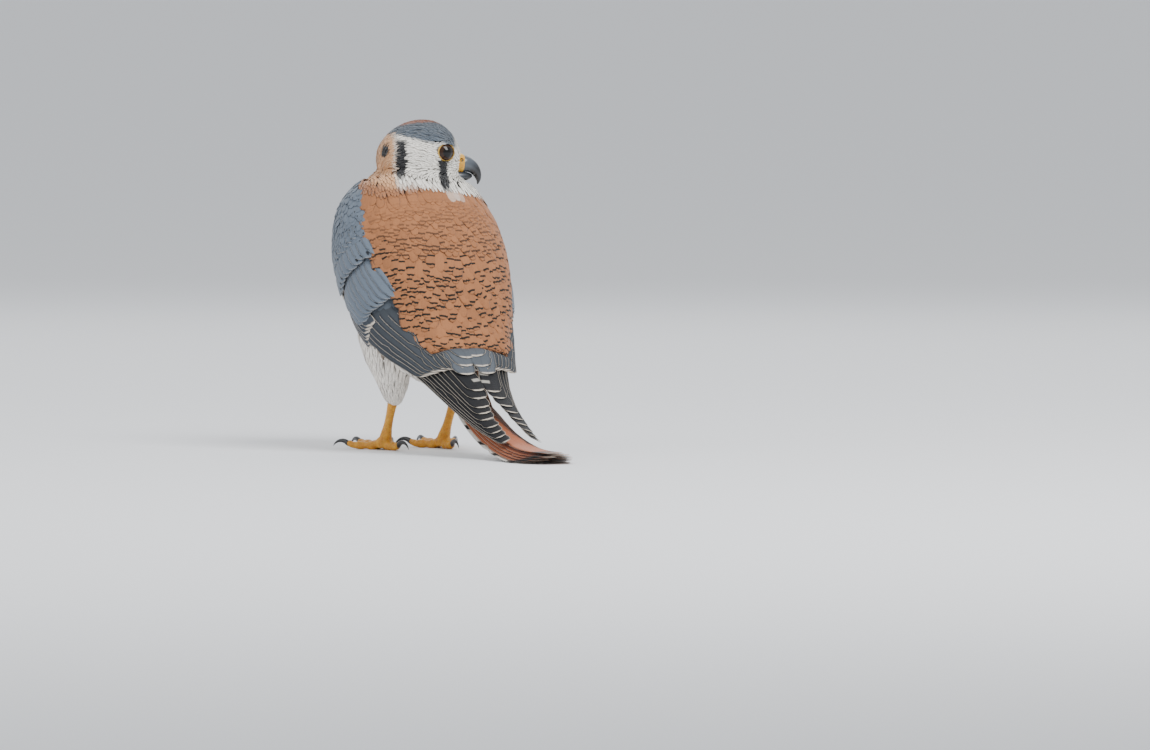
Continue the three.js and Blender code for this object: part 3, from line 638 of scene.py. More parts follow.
def add_vanes(
    faces: Faces,
    grid: Array,
    tips: Array,
    outward: Array,
    colours: tuple[Array, Array, Array],
    bake: Array,
    patch: Array,
    rows_at: Array,
    widths: Array,
    lengths: Array,
    lining: Array | None = None,
) -> None:
    """Adds closed feathers that lie on a surface.

    Args:
        faces: The piece they join.
        grid: Outer faces as feathers x rows x columns x 3, in millimetres.
        tips: One point for each feather.
        outward: Direction away from the surface at each feather.
        colours: Base colours, mark colours and mark strengths.
        bake: Place of each feather's root on the bake map.
        patch: Width and height of each feather's patch there.
        rows_at: Share of the length at each row.
        widths: Half width of each feather at each row.
        lengths: Length of each feather.
        lining: Inner faces, shaped like the outer ones, where feathers have them.
    """
    count, rows, columns, _ = grid.shape
    middle = rows // 2
    along = tips - grid[:, 0, columns // 2]
    across = grid[:, middle, -1] - grid[:, middle, 0]
    flip = np.einsum("ij,ij->i", np.cross(across, along), outward) < 0
    grid = np.where(flip[:, None, None, None], grid[:, :, ::-1], grid)
    shares = np.tile(np.linspace(-1.0, 1.0, columns), (count, 1))
    shares[flip] = -shares[flip]
    quads, flat = vane_faces(rows, columns, lining is not None)
    sheets = [grid.reshape(count, -1, 3), tips[:, None]]
    if lining is not None:
        lining = np.where(flip[:, None, None, None], lining[:, :, ::-1], lining)
        sheets.append(lining[:, :, 1:-1].reshape(count, -1, 3))
    points = np.concatenate(sheets, axis=1)
    per = points.shape[1]
    all_quads = (quads[None] + (np.arange(count) * per)[:, None, None]).reshape(-1, 4)
    u = np.repeat(shares[:, None, :], rows, axis=1)
    v = np.broadcast_to(rows_at[None, :, None], (count, rows, columns))

    def spread(values: Array, tip: float) -> Array:
        """Gives each vertex of the feathers its value.

        Args:
            values: Values of the outer faces.
            tip: Value of the tips.

        Returns:
            Values of the outer face, the tip and the lining of each feather.
        """
        inside = values[:, :, 1:-1] if lining is not None else values[:, :, :0]
        ends = np.full((count, 1), tip)
        return np.concatenate([values.reshape(count, -1), ends, inside.reshape(count, -1)], axis=1)

    flat_u, flat_v = spread(u, 0.0), spread(v, 1.0)
    reach = spread(u * widths[:, :, None], 0.0)
    margin = spread(widths[:, :, None] * (1 - np.abs(u)), 0.0)
    own = np.stack([0.5 * flat_u, flat_v], axis=-1)
    maps = {
        VANE_MAP: np.stack([0.5 + 0.5 * flat_u, flat_v], axis=-1),
        BARB_MAP: np.stack([reach, flat_v * lengths[:, None]], axis=-1),
        EDGE_MAP: np.stack([margin, (1 - flat_v) * lengths[:, None]], axis=-1),
        BAKE_MAP: bake[:, None, :] + own * patch[:, None, :],
    }
    base, mark, strength = colours
    mark = np.column_stack([mark[:, :3], strength])
    faces.add(
        points.reshape(-1, 3),
        all_quads,
        np.tile(flat, count),
        {"base": np.repeat(base, per, axis=0), "mark": np.repeat(mark, per, axis=0)},
        {name: places.reshape(-1, 2) for name, places in maps.items()},
    )


@dataclass(frozen=True)
class Tier:
    """One row of large feathers, spread from a first place to a last one.

    Roots and tips are pairs of (distance along the spine, place across). Widths and lifts are
    those of the first feather and of the last, in millimetres.
    """

    count: int
    root: tuple[tuple[float, float], tuple[float, float]]
    tip: tuple[tuple[float, float], tuple[float, float]]
    half_width: tuple[float, float]
    root_lift: tuple[float, float]
    tip_lift: tuple[float, float]
    dye: Dye
    tilt: float = 0.7
    rows: int = 16
    columns: int = 7
    blunt: float = 1.3
    camber: float = 0.25
    thick: float = 0.28
    first_shorter: float = 0.0
    marked: float = 1.0


def tier_feathers(
    faces: Faces,
    tier: Tier,
    surface: Surface,
    outward: Array,
    seed: int,
    cells: tuple[int, int],
) -> int:
    """Adds one tier of feathers to a piece.

    Args:
        faces: The piece.
        tier: Sizes and colours of the tier.
        surface: Gives points for distances, places across and lifts.
        outward: Direction away from the surface.
        seed: Seed of the random draw.
        cells: First cell of the tier on the bake map, and the number of cells in a row.

    Returns:
        The number of feathers added.
    """
    rng = np.random.default_rng(seed)
    count = tier.count
    share = np.linspace(0.0, 1.0, count) if count > 1 else np.array([0.5])
    root = mix(np.array(tier.root[0]), np.array(tier.root[1]), share[:, None])
    tip = mix(np.array(tier.tip[0]), np.array(tier.tip[1]), share[:, None])
    tip[:, 0] += rng.uniform(-0.8, 0.8, count)
    tip[:, 1] += rng.uniform(-0.006, 0.006, count)
    tip[0, 0] += tier.first_shorter
    half = mix(*tier.half_width, share) * (1 + 0.04 * rng.uniform(-1, 1, count))
    rows_at = 1 - (1 - np.linspace(0, 1, tier.rows + 1)[:-1]) ** 1.35
    t = rows_at[None, :]
    length = np.abs(tip[:, 0] - root[:, 0])[:, None]
    round_from = 1 - np.minimum(tier.blunt * half[:, None] / length, 0.5)
    past = np.clip((t - round_from) / (1 - round_from), 0, 0.999)
    width = half[:, None] * np.minimum(1, 0.5 + 1.8 * t) * np.sqrt(1 - past**2.2)
    # Barbs part here and there, which nicks the edge of the vane
    nick = 1 - 0.16 * (rng.uniform(0, 1, width.shape) > 0.9) * (t > 0.45)
    lengthwise = mix(root[:, None, 0], tip[:, None, 0], t)
    sway = 0.012 * np.sin(math.pi * t) * rng.uniform(-1, 1, (count, 1))
    middle = mix(root[:, None, 1], tip[:, None, 1], t) + sway
    probe = 0.02
    zero = np.zeros_like(lengthwise)
    gap = surface(lengthwise, middle + probe, zero) - surface(lengthwise, middle - probe, zero)
    per_mm = 2 * probe / np.maximum(np.linalg.norm(gap, axis=-1), 1e-6)
    rise = mix(
        mix(*tier.root_lift, share)[:, None], mix(*tier.tip_lift, share)[:, None], smooth(t * 1.6)
    )
    v = np.linspace(-1, 1, tier.columns)
    bow = tier.camber * (1 - v**2) + 0.12 * np.exp(-((v / 0.18) ** 2))
    lift = (
        rise[:, :, None]
        + bow * np.minimum(1, 3 * (1 - t[:, :, None]) + 0.25)
        - tier.tilt * v * smooth(t * 2.2)[:, :, None]
    )
    places = middle[:, :, None] + v * (width * nick * per_mm)[:, :, None]
    grid = surface(np.broadcast_to(lengthwise[:, :, None], places.shape), places, lift)
    tips = surface(tip[:, 0], tip[:, 1], lift[:, -1, tier.columns // 2] - 0.1)
    thick = tier.thick * (1 - v**2) * (1.3 - t[:, :, None])
    lining = surface(np.broadcast_to(lengthwise[:, :, None], places.shape), places, lift - thick)
    wobble = 1 + tier.dye.vary * rng.uniform(-1, 1, (count, 1))
    base = linear(tier.dye.base) * wobble
    base[:, 3] = 1.0
    mark = np.tile(linear(tier.dye.mark), (count, 1))
    strength = tier.dye.strength * (rng.uniform(0, 1, count) < tier.marked)
    first, in_row = cells
    cell = first + np.arange(count)
    size = 1.0 / in_row
    bake = np.stack([(cell % in_row + 0.5) * size, (cell // in_row) * size + 0.06 * size], axis=1)
    patch = np.tile([0.86 * size, 0.88 * size], (count, 1))
    add_vanes(
        faces, grid, tips, np.tile(outward, (count, 1)), (base, mark, strength),
        bake, patch, rows_at, width, length[:, 0], lining,
    )
    return count


RUFOUS = Dye(0x9E6843, 0x1A1613, 0.9)
BLUE_GREY = Dye(0x616C79, 0x101115, 0.9)
SLATE = Dye(0x1C1D20, 0xC9C4BA, 0.6)
PALE = Dye(0xEDE4D6, 0xEDE4D6, 0.0)

# Distance along the spine, and thickness of the wing's body there
WING_BODY = np.array([[46, 3.0], [36, 7.5], [16, 10.0], [-20, 9.0], [-46, 3.4], [-66, 1.0]])


@dataclass
class Wing:
    """A folded wing with its real count of feathers in every tier."""

    side: Side
    primaries: Tier = Tier(
        10, ((2, 0.05), (-36, 0.72)), ((-134, 0.40), (-84, 0.97)), (3.9, 5.0),
        (-1.9, -1.4), (-3.9, 0.3), SLATE, tilt=0.0, rows=24, first_shorter=6.0,
    )
    secondaries: Tier = Tier(
        10, ((-10, 0.20), (-14, 0.88)), ((-64, 0.34), (-68, 0.98)), (4.0, 4.8),
        (-1.3, -1.3), (0.6, 0.9), Dye(0x393E44, 0xD6D3CC, 0.8), tilt=0.7, rows=20,
    )
    tertials: Tier = Tier(
        3, ((-16, 0.86), (-14, 0.98)), ((-72, 0.92), (-61, 1.02)), (5.2, 5.4),
        (-1.3, -1.0), (1.3, 1.9), Dye(0x545A61, 0xC9C4BA, 0.7), tilt=0.3, rows=20,
    )
    primary_coverts: Tier = Tier(
        7, ((0, 0.05), (-2, 0.30)), ((-34, 0.08), (-27, 0.36)), (2.7, 3.2),
        (-1.3, -1.3), (0.3, 0.5), Dye(0x3A4048, 0x14151A, 0.8), tilt=0.5, rows=14,
    )
    greater_coverts: Tier = Tier(
        13, ((3, 0.24), (9, 0.98)), ((-25, 0.28), (-17, 1.0)), (3.5, 4.2),
        (-1.3, -1.3), (0.9, 1.2), BLUE_GREY, tilt=0.5, rows=18, marked=0.6,
    )
    alula: Tier = Tier(
        3, ((20, 0.02), (18, 0.12)), ((-9, 0.02), (0, 0.13)), (2.3, 2.6),
        (-1.3, -1.3), (0.6, 0.7), Dye(0x30353B, 0x121318, 0.6), tilt=0.4, rows=14,
    )
    median_coverts: Tier = Tier(
        14, ((15, 0.16), (22, 0.98)), ((-5, 0.18), (4, 1.0)), (3.2, 3.7),
        (-1.3, -1.3), (1.2, 1.5), BLUE_GREY, tilt=0.5, rows=16, marked=0.6,
    )
    lesser_coverts: Tier = Tier(
        16, ((22, 0.10), (29, 0.98)), ((6, 0.12), (14, 1.0)), (2.8, 3.1),
        (-1.2, -1.2), (1.4, 1.7), BLUE_GREY, tilt=0.45, rows=14, marked=0.6,
    )
    scapular_dip: float = 3.4
    core_rows: int = 40
    core_columns: int = 24

    def build(self) -> None:
        """Builds the wing's body and its feathers."""
        self.core()
        outward = np.array([self.side.value, 0.0, 0.2])
        groups = {
            "flight": ("primaries", "secondaries", "tertials", "primary_coverts", "alula"),
            "coverts": ("greater_coverts", "median_coverts", "lesser_coverts"),
        }
        for group, tiers in groups.items():
            faces = Faces()
            cell = 0
            for index, name in enumerate(tiers):
                seed = 100 * index + 7 * (self.side is Side.LEFT) + len(group)
                cell += tier_feathers(
                    faces, getattr(self, name), self.surface, outward, seed, (cell, 7)
                )
            piece = faces.build(f"wing_{group}_{self.side.word}")
            settle(piece, f"{group}_vane", "wing_feather")

    def surface(self, s: Array, across: Array, lift: Array) -> Array:
        """Points on this wing's outer face, which dips under the scapulars.

        Args:
            s: Distances along the spine.
            across: Shares of the way across the wing.
            lift: Heights above the face.

        Returns:
            The points, in millimetres.
        """
        past = across - scapular_edge(s, np.full_like(s, self.side.value))
        under = smooth((past + 0.05) / 0.09) * smooth((s + 58) / 10)
        return wing_point(self.side, s, across, lift - self.scapular_dip * under)

    def core(self) -> None:
        """Builds the wing's body under its feathers, thick in the middle, thin at the edges."""
        s = np.linspace(45, -50, self.core_rows)
        across = np.linspace(0.0, 1.0, self.core_columns)
        grid_s, grid_a = np.meshgrid(s, across, indexing="ij")
        # Behind the bend the lower edge draws in under the flight feathers
        grid_a = mix(0.03 + 0.24 * smooth((-grid_s - 2) / 40), 0.97, grid_a)
        lens = np.sqrt(np.maximum(1 - (2 * grid_a - 1) ** 4, 0))
        top = self.surface(grid_s, grid_a, 0.9 * (lens - 1) - 0.5)
        bottom = self.surface(grid_s, grid_a, -1.5 - profile_at(WING_BODY, 1, grid_s) * lens)
        piece = closed_plate(f"wing_body_{self.side.word}", top, bottom, self.side is Side.LEFT)
        settle(piece, "wing_skin", "wing_feather", f"wing_{self.side.word}")


def closed_plate(name: str, top: Array, bottom: Array, flip: bool) -> bpy.types.Object:
    """Makes a closed piece between two grids of points.

    Args:
        name: The piece's name.
        top: Outer grid, in millimetres.
        bottom: Inner grid.
        flip: Whether the faces turn the other way.

    Returns:
        The new object.
    """
    rows, columns, _ = top.shape
    index = np.arange(rows * columns).reshape(rows, columns)
    below = index + rows * columns

    def cells(grid: Array) -> Array:
        """Rows of four corners of one grid."""
        corners = (grid[:-1, :-1], grid[:-1, 1:], grid[1:, 1:], grid[1:, :-1])
        return np.stack([c.ravel() for c in corners], axis=1)

    rim = np.concatenate([index[0, :-1], index[:-1, -1], index[-1, :0:-1], index[:0:-1, 0]])
    after = np.roll(rim, -1)
    walls = np.stack([after, rim, rim + rows * columns, after + rows * columns], axis=1)
    quads = np.concatenate([cells(index), cells(below)[:, ::-1], walls])
    if flip:
        quads = quads[:, ::-1]
    points = np.concatenate([top.reshape(-1, 3), bottom.reshape(-1, 3)])
    return closed_piece(name, points, quads.tolist(), turned=False)


# Distance along the spine, half width, height above and depth below
TAIL_ROOT = np.array(
    [[-46, 6.5, 3.4, 4.4], [-62, 8.0, 3.4, 4.6], [-76, 7.0, 2.0, 2.8], [-90, 4.0, 0.8, 1.0]]
)


@dataclass
class Tail:
    """Twelve tail feathers laid on the floor, with the coverts round their roots."""

    root: float = -46.0
    length: float = 118.0
    lift: float = 4.0
    above: float = 2.1
    pairs: int = 6
    layer_step: float = 0.8
    outer_shortfall: float = 12.0
    half_width: float = 5.6
    inner_edge: float = 0.3
    root_spread: float = 0.55
    tip_spread: float = 1.35
    rows: int = 30
    covert_rows: int = 5
    covert_count: int = 9
    covert_length: float = 17.0

    def surface(self, s: Array, side: Array, lift: Array) -> Array:
        """Point over or under the middle of the tail."""
        return SPINE.point(side, self.lift + lift, s)

    def build(self) -> None:
        """Builds the feathers, their coverts and the core that their roots are sunk in."""
        inner, outer = Faces(), Faces()
        rng = np.random.default_rng(4242)
        for pair in range(self.pairs):
            for side in Side:
                self.feather(outer if pair == self.pairs - 1 else inner, pair, side, rng)
        for name, faces in (("tail_inner", inner), ("tail_outer", outer)):
            settle(faces.build(name), f"{name}_vane", "tail_feather")
        self.coverts()
        self.core()

    def feather(self, faces: Faces, pair: int, side: Side, rng: np.random.Generator) -> None:
        """Adds one tail feather.

        Args:
            faces: The piece it joins.
            pair: Place of its pair, from the middle outwards.
            side: Which side of the tail.
            rng: Random source.
        """
        layer = 0 if pair == 0 and side is Side.LEFT else pair + 1
        shorter = self.outer_shortfall * (pair / (self.pairs - 1)) ** 2 + rng.uniform(0, 1.2)
        keep = -1e9 if pair == 0 else self.inner_edge

        def lay(s: Array, across: Array, lift: Array) -> Array:
            """Point on this side of the tail."""
            return self.surface(s, side.value * np.maximum(across, keep), lift)

        place = self.root_spread * (pair + 0.5)
        end = self.tip_spread * (pair + 0.9)
        height = self.above - self.layer_step * (layer - 0.5)
        dye = Dye(0xB0623A, 0x141214) if pair < self.pairs - 1 else Dye(0xE9E3D9, 0x141214)
        tier = Tier(
            1, ((self.root - 10, place),) * 2, ((self.root - self.length + shorter, end),) * 2,
            (self.half_width,) * 2, (1.9 - 0.6 * layer,) * 2, (height,) * 2, dye,
            tilt=0.0, rows=self.rows, blunt=0.9, camber=0.2,
        )
        cell = 2 * pair + (side is Side.LEFT)
        up = np.array([0.0, 0.0, 1.0])
        cells = (cell % 2, 2) if pair == self.pairs - 1 else (cell, 4)
        tier_feathers(faces, tier, lay, up, 900 + cell, cells)

    def sheath(self, s: Array, angle: Array, lift: Array) -> Array:
        """Points round the tail's root.

        Args:
            s: Distances along the spine.
            angle: Angles in radians, from the left side upwards.
            lift: Heights above the root's surface.

        Returns:
            The points, in millimetres.
        """
        half, above, below = (value + lift for value in columns_at(TAIL_ROOT, s))
        depth = np.where(np.sin(angle) > 0, above, below)
        return self.surface(s, half * np.cos(angle), depth * np.sin(angle))

    def coverts(self) -> None:
        """Builds the feathers over and under the tail's root."""
        for name, look, sign, dye in (
            ("tail_coverts_upper", "mantle_vane", 1, RUFOUS),
            ("tail_coverts_under", "thigh_vane", -1, PALE),
        ):
            faces = Faces()

            def lay(s: Array, across: Array, lift: Array, sign: int = sign) -> Array:
                """Point round the upper or the lower half of the tail's root."""
                return self.sheath(s, sign * math.pi * mix(0.97, 0.03, across), lift)

            for row in range(self.covert_rows):
                start = self.root - 6.0 * row
                end = start - self.covert_length
                margin = 0.05 + 0.03 * (row % 2)
                tip_margin = 0.5 - 0.9 * (0.5 - margin)
                tier = Tier(
                    self.covert_count, ((start, margin), (start, 1 - margin)),
                    ((end, tip_margin), (end, 1 - tip_margin)),
                    (2.2, 2.2), (-0.9, -0.9), (0.5, 0.5), dye, tilt=0.0, rows=10,
                )
                up = np.array([0.0, 0.0, float(sign)])
                tier_feathers(faces, tier, lay, up, 700 + row, (self.covert_count * row, 7))
            settle(faces.build(name), look, "tail_feather")

    def core(self) -> None:
        """Builds the core that the feathers' roots are sunk in."""
        s = np.linspace(-50, -90, 18)[:, None]
        angle = full_turn(28)[None, :]
        core = closed_tube("tail_core", self.sheath(s, angle, np.full_like(s, -0.8)))
        settle(core, "soft_skin", "tail_feather", "tail")


def closed_tube(name: str, grid: Array) -> bpy.types.Object:
    """Makes a closed piece from rings, with a fan over each end.

    Args:
        name: The piece's name.
        grid: Rings x points x 3, in millimetres.

    Returns:
        The new object.
    """
    rings, count, _ = grid.shape
    index = np.arange(rings * count).reshape(rings, count)
    turned = np.roll(index, -1, axis=1)
    quads = np.stack([index[:-1], turned[:-1], turned[1:], index[1:]], axis=-1).reshape(-1, 4)
    first, last = rings * count, rings * count + 1
    faces = quads.tolist()
    faces += [[first, b, a] for a, b in zip(index[0].tolist(), turned[0].tolist())]
    faces += [[last, a, b] for a, b in zip(index[-1].tolist(), turned[-1].tolist())]
    ends = np.array([grid[0].mean(0), grid[-1].mean(0)])
    return closed_piece(name, np.concatenate([grid.reshape(-1, 3), ends]), faces)


def full_turn(count: int) -> Array:
    """Angles evenly round a circle, in radians."""
    return np.linspace(0, 2 * math.pi, count, endpoint=False)


def mesh_arrays(piece: bpy.types.Object) -> tuple[Array, Array]:
    """Reads a piece's vertices.

    Args:
        piece: The piece.

    Returns:
        Its vertices in millimetres, and their normals.
    """
    count = len(piece.data.vertices)
    points, normals = np.empty(count * 3), np.empty(count * 3)
    piece.data.vertices.foreach_get("co", points)
    piece.data.vertices.foreach_get("normal", normals)
    return points.reshape(-1, 3) / MM, normals.reshape(-1, 3)


def set_points(piece: bpy.types.Object, points: Array) -> None:
    """Moves a piece's vertices to places in millimetres."""
    piece.data.vertices.foreach_set("co", (points * MM).ravel())
    piece.data.update()


def merged(
    name: str, grown: dict[str, float], extra: list[bpy.types.Object], voxel: float, passes: int
) -> bpy.types.Object:
    """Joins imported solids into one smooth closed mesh.

    Args:
        name: The new piece's name.
        grown: Solids by name, and how far each is grown first, in millimetres.
        extra: More closed pieces that are joined and used up.
        voxel: Grid size of the joining, in millimetres.
        passes: Passes of smoothing.

    Returns:
        The new object.
    """
    parts = []
    for node, growth in grown.items():
        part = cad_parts[node].copy()
        part.data = part.data.copy()
        part.parent = None
        for key in list(part.keys()):
            del part[key]
        bpy.context.scene.collection.objects.link(part)
        points, normals = mesh_arrays(part)
        set_points(part, points + growth * welded_normals(points, normals))
        parts.append(part)
    parts += extra
    bpy.ops.object.select_all(action="DESELECT")
    for part in parts:
        part.hide_viewport = False
        part.hide_render = False
        part.select_set(True)
    bpy.context.view_layer.objects.active = parts[0]
    bpy.ops.object.join()
    piece = bpy.context.view_layer.objects.active
    piece.name = name
    piece.data.name = name
    piece.data.materials.clear()
    with open_mesh(piece.data) as work:
        bmesh.ops.remove_doubles(work, verts=work.verts[:], dist=1e-6)
    remesh = piece.modifiers.new("join", "REMESH")
    remesh.mode = "VOXEL"
    remesh.voxel_size = voxel * MM
    relax = piece.modifiers.new("relax", "SMOOTH")
    relax.factor = 0.5
    relax.iterations = passes
    baked = bpy.data.meshes.new_from_object(
        piece.evaluated_get(bpy.context.evaluated_depsgraph_get())
    )
    piece.modifiers.clear()
    piece.data = baked
    keep_largest(piece)
    piece.data.shade_smooth()
    piece.select_set(False)
    return piece


def welded_normals(points: Array, normals: Array) -> Array:
    """Makes normals alike wherever vertices share a place.

    Args:
        points: Vertices in millimetres.
        normals: Their normals.

    Returns:
        The new normals.
    """
    _, group = np.unique(np.round(points, 3), axis=0, return_inverse=True)
    group = group.ravel()
    total = np.zeros((group.max() + 1, 3))
    np.add.at(total, group, normals)
    return unit(total)[group]


def keep_largest(piece: bpy.types.Object) -> None:
    """Drops all but a mesh's largest closed surface.

    Args:
        piece: The piece whose mesh is changed.
    """
    with open_mesh(piece.data) as work:
        seen: set[int] = set()
        islands = []
        for start in work.verts:
            if start.index in seen:
                continue
            stack, island = [start], []
            seen.add(start.index)
            while stack:
                vertex = stack.pop()
                island.append(vertex)
                for edge in vertex.link_edges:
                    other = edge.other_vert(vertex)
                    if other.index not in seen:
                        seen.add(other.index)
                        stack.append(other)
            islands.append(island)
        for island in sorted(islands, key=len)[:-1]:
            bmesh.ops.delete(work, geom=island, context="VERTS")


# Distance along the spine, and share of the way across the wing
SCAPULAR_EDGE = np.array(
    [[-56, 0.62], [-38, 0.75], [-18, 0.82], [6, 0.83], [34, 0.86], [46, 0.88]]
)
RIGHT_LOWER = 0.2


def scapular_edge(s: Array, x: Array) -> Array:
    """Share across the wing where the scapulars end and the coverts show.

    The scapulars hang lower over the right wing than over the left.

    Args:
        s: Distances along the spine.
        x: Any number with the sign of the side.

    Returns:
        Shares across the wing.
    """
    return profile_at(SCAPULAR_EDGE, 1, s) - RIGHT_LOWER * (x < 0)


def wing_blank(side: Side) -> bpy.types.Object:
    """Makes a plain closed wing, which the body feathers are draped over with the trunk.

    Args:
        side: Which wing.

    Returns:
        The new object.
    """
    s = np.linspace(45, -50, 36)
    grid_s, grid_a = np.meshgrid(s, np.linspace(0.0, 1.0, 22), indexing="ij")
    top = wing_point(side, grid_s, grid_a, 1.0 + 1.0 * smooth((grid_s - 6) / 8))
    bottom = wing_point(side, grid_s, grid_a, -7.0 + 5.5 * smooth((-20 - grid_s) / 40))
    return closed_plate(f"blank_{side.word}", top, bottom, side is Side.LEFT)


def back_point(s: Array, share: Array, lift: Array) -> Array:
    """Point on the back, which bridges the two wings in their own outline.

    Args:
        s: Distances along the spine.
        share: Way round from the right scapulars' edge at -1 to the left one's at 1.
        lift: Height above the wings' outer faces.

    Returns:
        The points, in millimetres.
    """
    s, share, lift = np.broadcast_arrays(s, share, lift)
    breadth, rise, _, middle, low, high = columns_at(WING_PROFILE, s)
    edge = mix(low, high, scapular_edge(s, share))
    angle = np.radians(90 - (90 - edge) * share)
    lift = lift - 0.9 * (1 - smooth((1 - np.abs(share)) / 0.12))
    out_x, out_n = np.cos(angle) / breadth, np.sin(angle) / rise
    size = np.hypot(out_x, out_n)
    x = breadth * np.cos(angle) + lift * out_x / size
    return SPINE.point(x, middle + rise * np.sin(angle) + lift * out_n / size, s)


def mantle_blank(lift: float) -> bpy.types.Object:
    """Makes a plain closed back, which carries the mantle and the scapulars over both wings.

    Args:
        lift: Height of its outer face above the wings'.

    Returns:
        The new object.
    """
    s = np.linspace(40, -54, 40)[:, None]
    share = np.linspace(-1.03, 1.03, 51)[None, :]
    outer = back_point(s, share, lift - 1.4 * smooth((-44 - s) / 10))
    inner = back_point(s, share, lift - 7.0 + 4.5 * smooth((-20 - s) / 25))
    return closed_plate("blank_back", outer, inner, False)


class Area(Enum):
    """Parts of the coat, each with feathers of its own size."""

    FACE = "face"
    CROWN = "crown"
    NAPE = "nape"
    MANTLE = "mantle"
    SCAPULAR = "scapular"
    BREAST = "breast"
    BELLY = "belly"
    THIGH = "thigh"
    SHIN = "shin"
    COVERT = "covert"
    VENT = "vent"
    NONE = "none"


@dataclass(frozen=True)
class Cut:
    """Sizes of one area's feathers, in millimetres."""

    spacing: float
    length: float
    half_width: float
    stand: float
    blunt: float = 0.4
    tip: float = 1.3


CUTS = {
    Area.FACE: Cut(0.78, 3.0, 0.5, 0.42, 0.3),
    Area.CROWN: Cut(1.05, 3.8, 0.7, 0.50, 0.3),
    Area.NAPE: Cut(1.3, 5.2, 0.95, 0.65, 0.3),
    Area.MANTLE: Cut(2.7, 9.5, 2.5, 0.9, 0.5, 2.0),
    Area.SCAPULAR: Cut(3.3, 14.0, 3.2, 1.15, 0.6, 2.0),
    Area.BREAST: Cut(2.0, 8.0, 1.6, 0.9),
    Area.BELLY: Cut(2.1, 8.6, 1.6, 0.95),
    Area.THIGH: Cut(1.6, 6.4, 1.0, 0.75),
    Area.SHIN: Cut(1.1, 3.6, 0.65, 0.5),
    Area.COVERT: Cut(2.1, 6.4, 1.9, 0.75, 0.5, 1.8),
    Area.VENT: Cut(2.3, 10.0, 1.8, 1.0),
}


def above_collar(local: Array) -> Array:
    """Measures places against the line where the head's colours end.

    Args:
        local: Places in the head's axes, in millimetres.

    Returns:
        Heights above the line, held below it far from the head.
    """
    f, u = local[:, 0], local[:, 2]
    line = -13.0 - 0.22 * (f + 17.0) - 0.3 * np.maximum(f - 5.0, 0)
    return np.where(np.linalg.norm(local, axis=1) < 34, u - line, -9.0)


@dataclass(frozen=True)
class Plumage:
    """Where each colour of an adult male lies. Half widths of marks are in millimetres."""

    slate: int = 0x57616C
    crown_patch: int = 0x96583A
    bar: int = 0x17181B
    white: int = 0xEFEBE2
    buff: int = 0xD8A679
    rufous: int = 0x9E6843
    breast: int = 0xD9A87C
    belly: int = 0xEBDFCD
    pale: int = 0xF1EAE0
    blue_grey: int = 0x616C79
    mark: int = 0x17150F
    moustache: float = 2.3
    rear_bar: float = 1.9
    nape_spot: float = 2.7

    def head(self, local: Array) -> Array:
        """Colours on the head.

        Args:
            local: Places in the head's own axes, in millimetres.

        Returns:
            Linear colours with alpha.
        """
        f, l, u = local[:, 0], np.abs(local[:, 1]), local[:, 2]
        colour = np.tile(linear(self.white), (len(local), 1))

        def paint(code: int, amount: Array) -> None:
            """Lays one colour over the rest, by an amount from 0 to 1."""
            colour[:] = mix(colour, linear(code), np.clip(amount, 0, 1)[:, None])

        paint(self.buff, smooth((-12.5 - f) / 3.0))
        edge = 7.6 + 0.16 * np.maximum(-f, 0) - 0.25 * np.maximum(f - 6, 0)
        paint(self.slate, smooth((u - edge) / 1.6 + 0.5) * smooth((14.5 - f) / 3.0))
        patch = np.hypot((f + 2.0) / 8.5, l / 5.4)
        paint(self.crown_patch, smooth((1.15 - patch) / 0.3) * (u > 8))
        middle = 5.6 + 0.16 * (3.8 - u)
        below = smooth((6.5 - u) / 2.0) * smooth((u + 13.5) / 2.5) * smooth((l - 5.0) / 2.0)
        paint(self.bar, smooth((self.moustache - np.abs(f - middle)) / 0.9 + 0.5) * below)
        span = smooth((8.5 - u) / 2.0) * smooth((u + 10.0) / 2.5) * smooth((l - 4.5) / 2.0)
        paint(self.bar, smooth((self.rear_bar - np.abs(f + 11.6)) / 0.9 + 0.5) * span)
        spot = np.hypot(f + 17.0, np.hypot(l - 6.0, u - 2.5))
        paint(self.bar, smooth((self.nape_spot - spot) / 0.9 + 0.5))
        return colour

    def body(self, points: Array, s: Array, out: Array) -> Array:
        """Colours on the neck, trunk and thighs.

        Args:
            points: Places in millimetres.
            s: Distances along the spine.
            out: Distances out towards the back.

        Returns:
            Linear colours with alpha.
        """
        x = np.abs(points[:, 0])
        back = smooth((out + 5.0) / 9.0)
        chest = mix(linear(self.belly), linear(self.breast), smooth((s + 12.0) / 30.0)[:, None])
        throat = smooth((s - 44.0) / 10.0)
        chest = mix(chest, linear(self.white), throat[:, None])
        upper = mix(linear(self.rufous), linear(self.buff), smooth((s - 50.0) / 9.0)[:, None])
        colour = mix(chest, upper, back[:, None])
        low = smooth((60.0 - points[:, 2]) / 14.0) * (1 - back) * smooth((x - 3.0) / 6.0)
        return mix(colour, linear(self.pale), low[:, None])

    def at(self, points: Array) -> Array:
        """Colours anywhere on the skin.

        Args:
            points: Places in millimetres.

        Returns:
            Linear colours with alpha.
        """
        s, out = SPINE.locate(points)
        local = HEAD.local(points)
        above = above_collar(local)
        near = smooth(above / 5.0 + 0.5)
        # The back's rufous runs up to the foot of the moustache and under the chin
        limit = 6 + 0.55 * np.maximum(local[:, 0] - 8, 0)
        near *= 1 - smooth((33 - s) / 7) * smooth(out / 6) * smooth((limit - above) / 3)
        return mix(self.body(points, s, out), self.head(local), near[:, None])


PLUMAGE = Plumage()


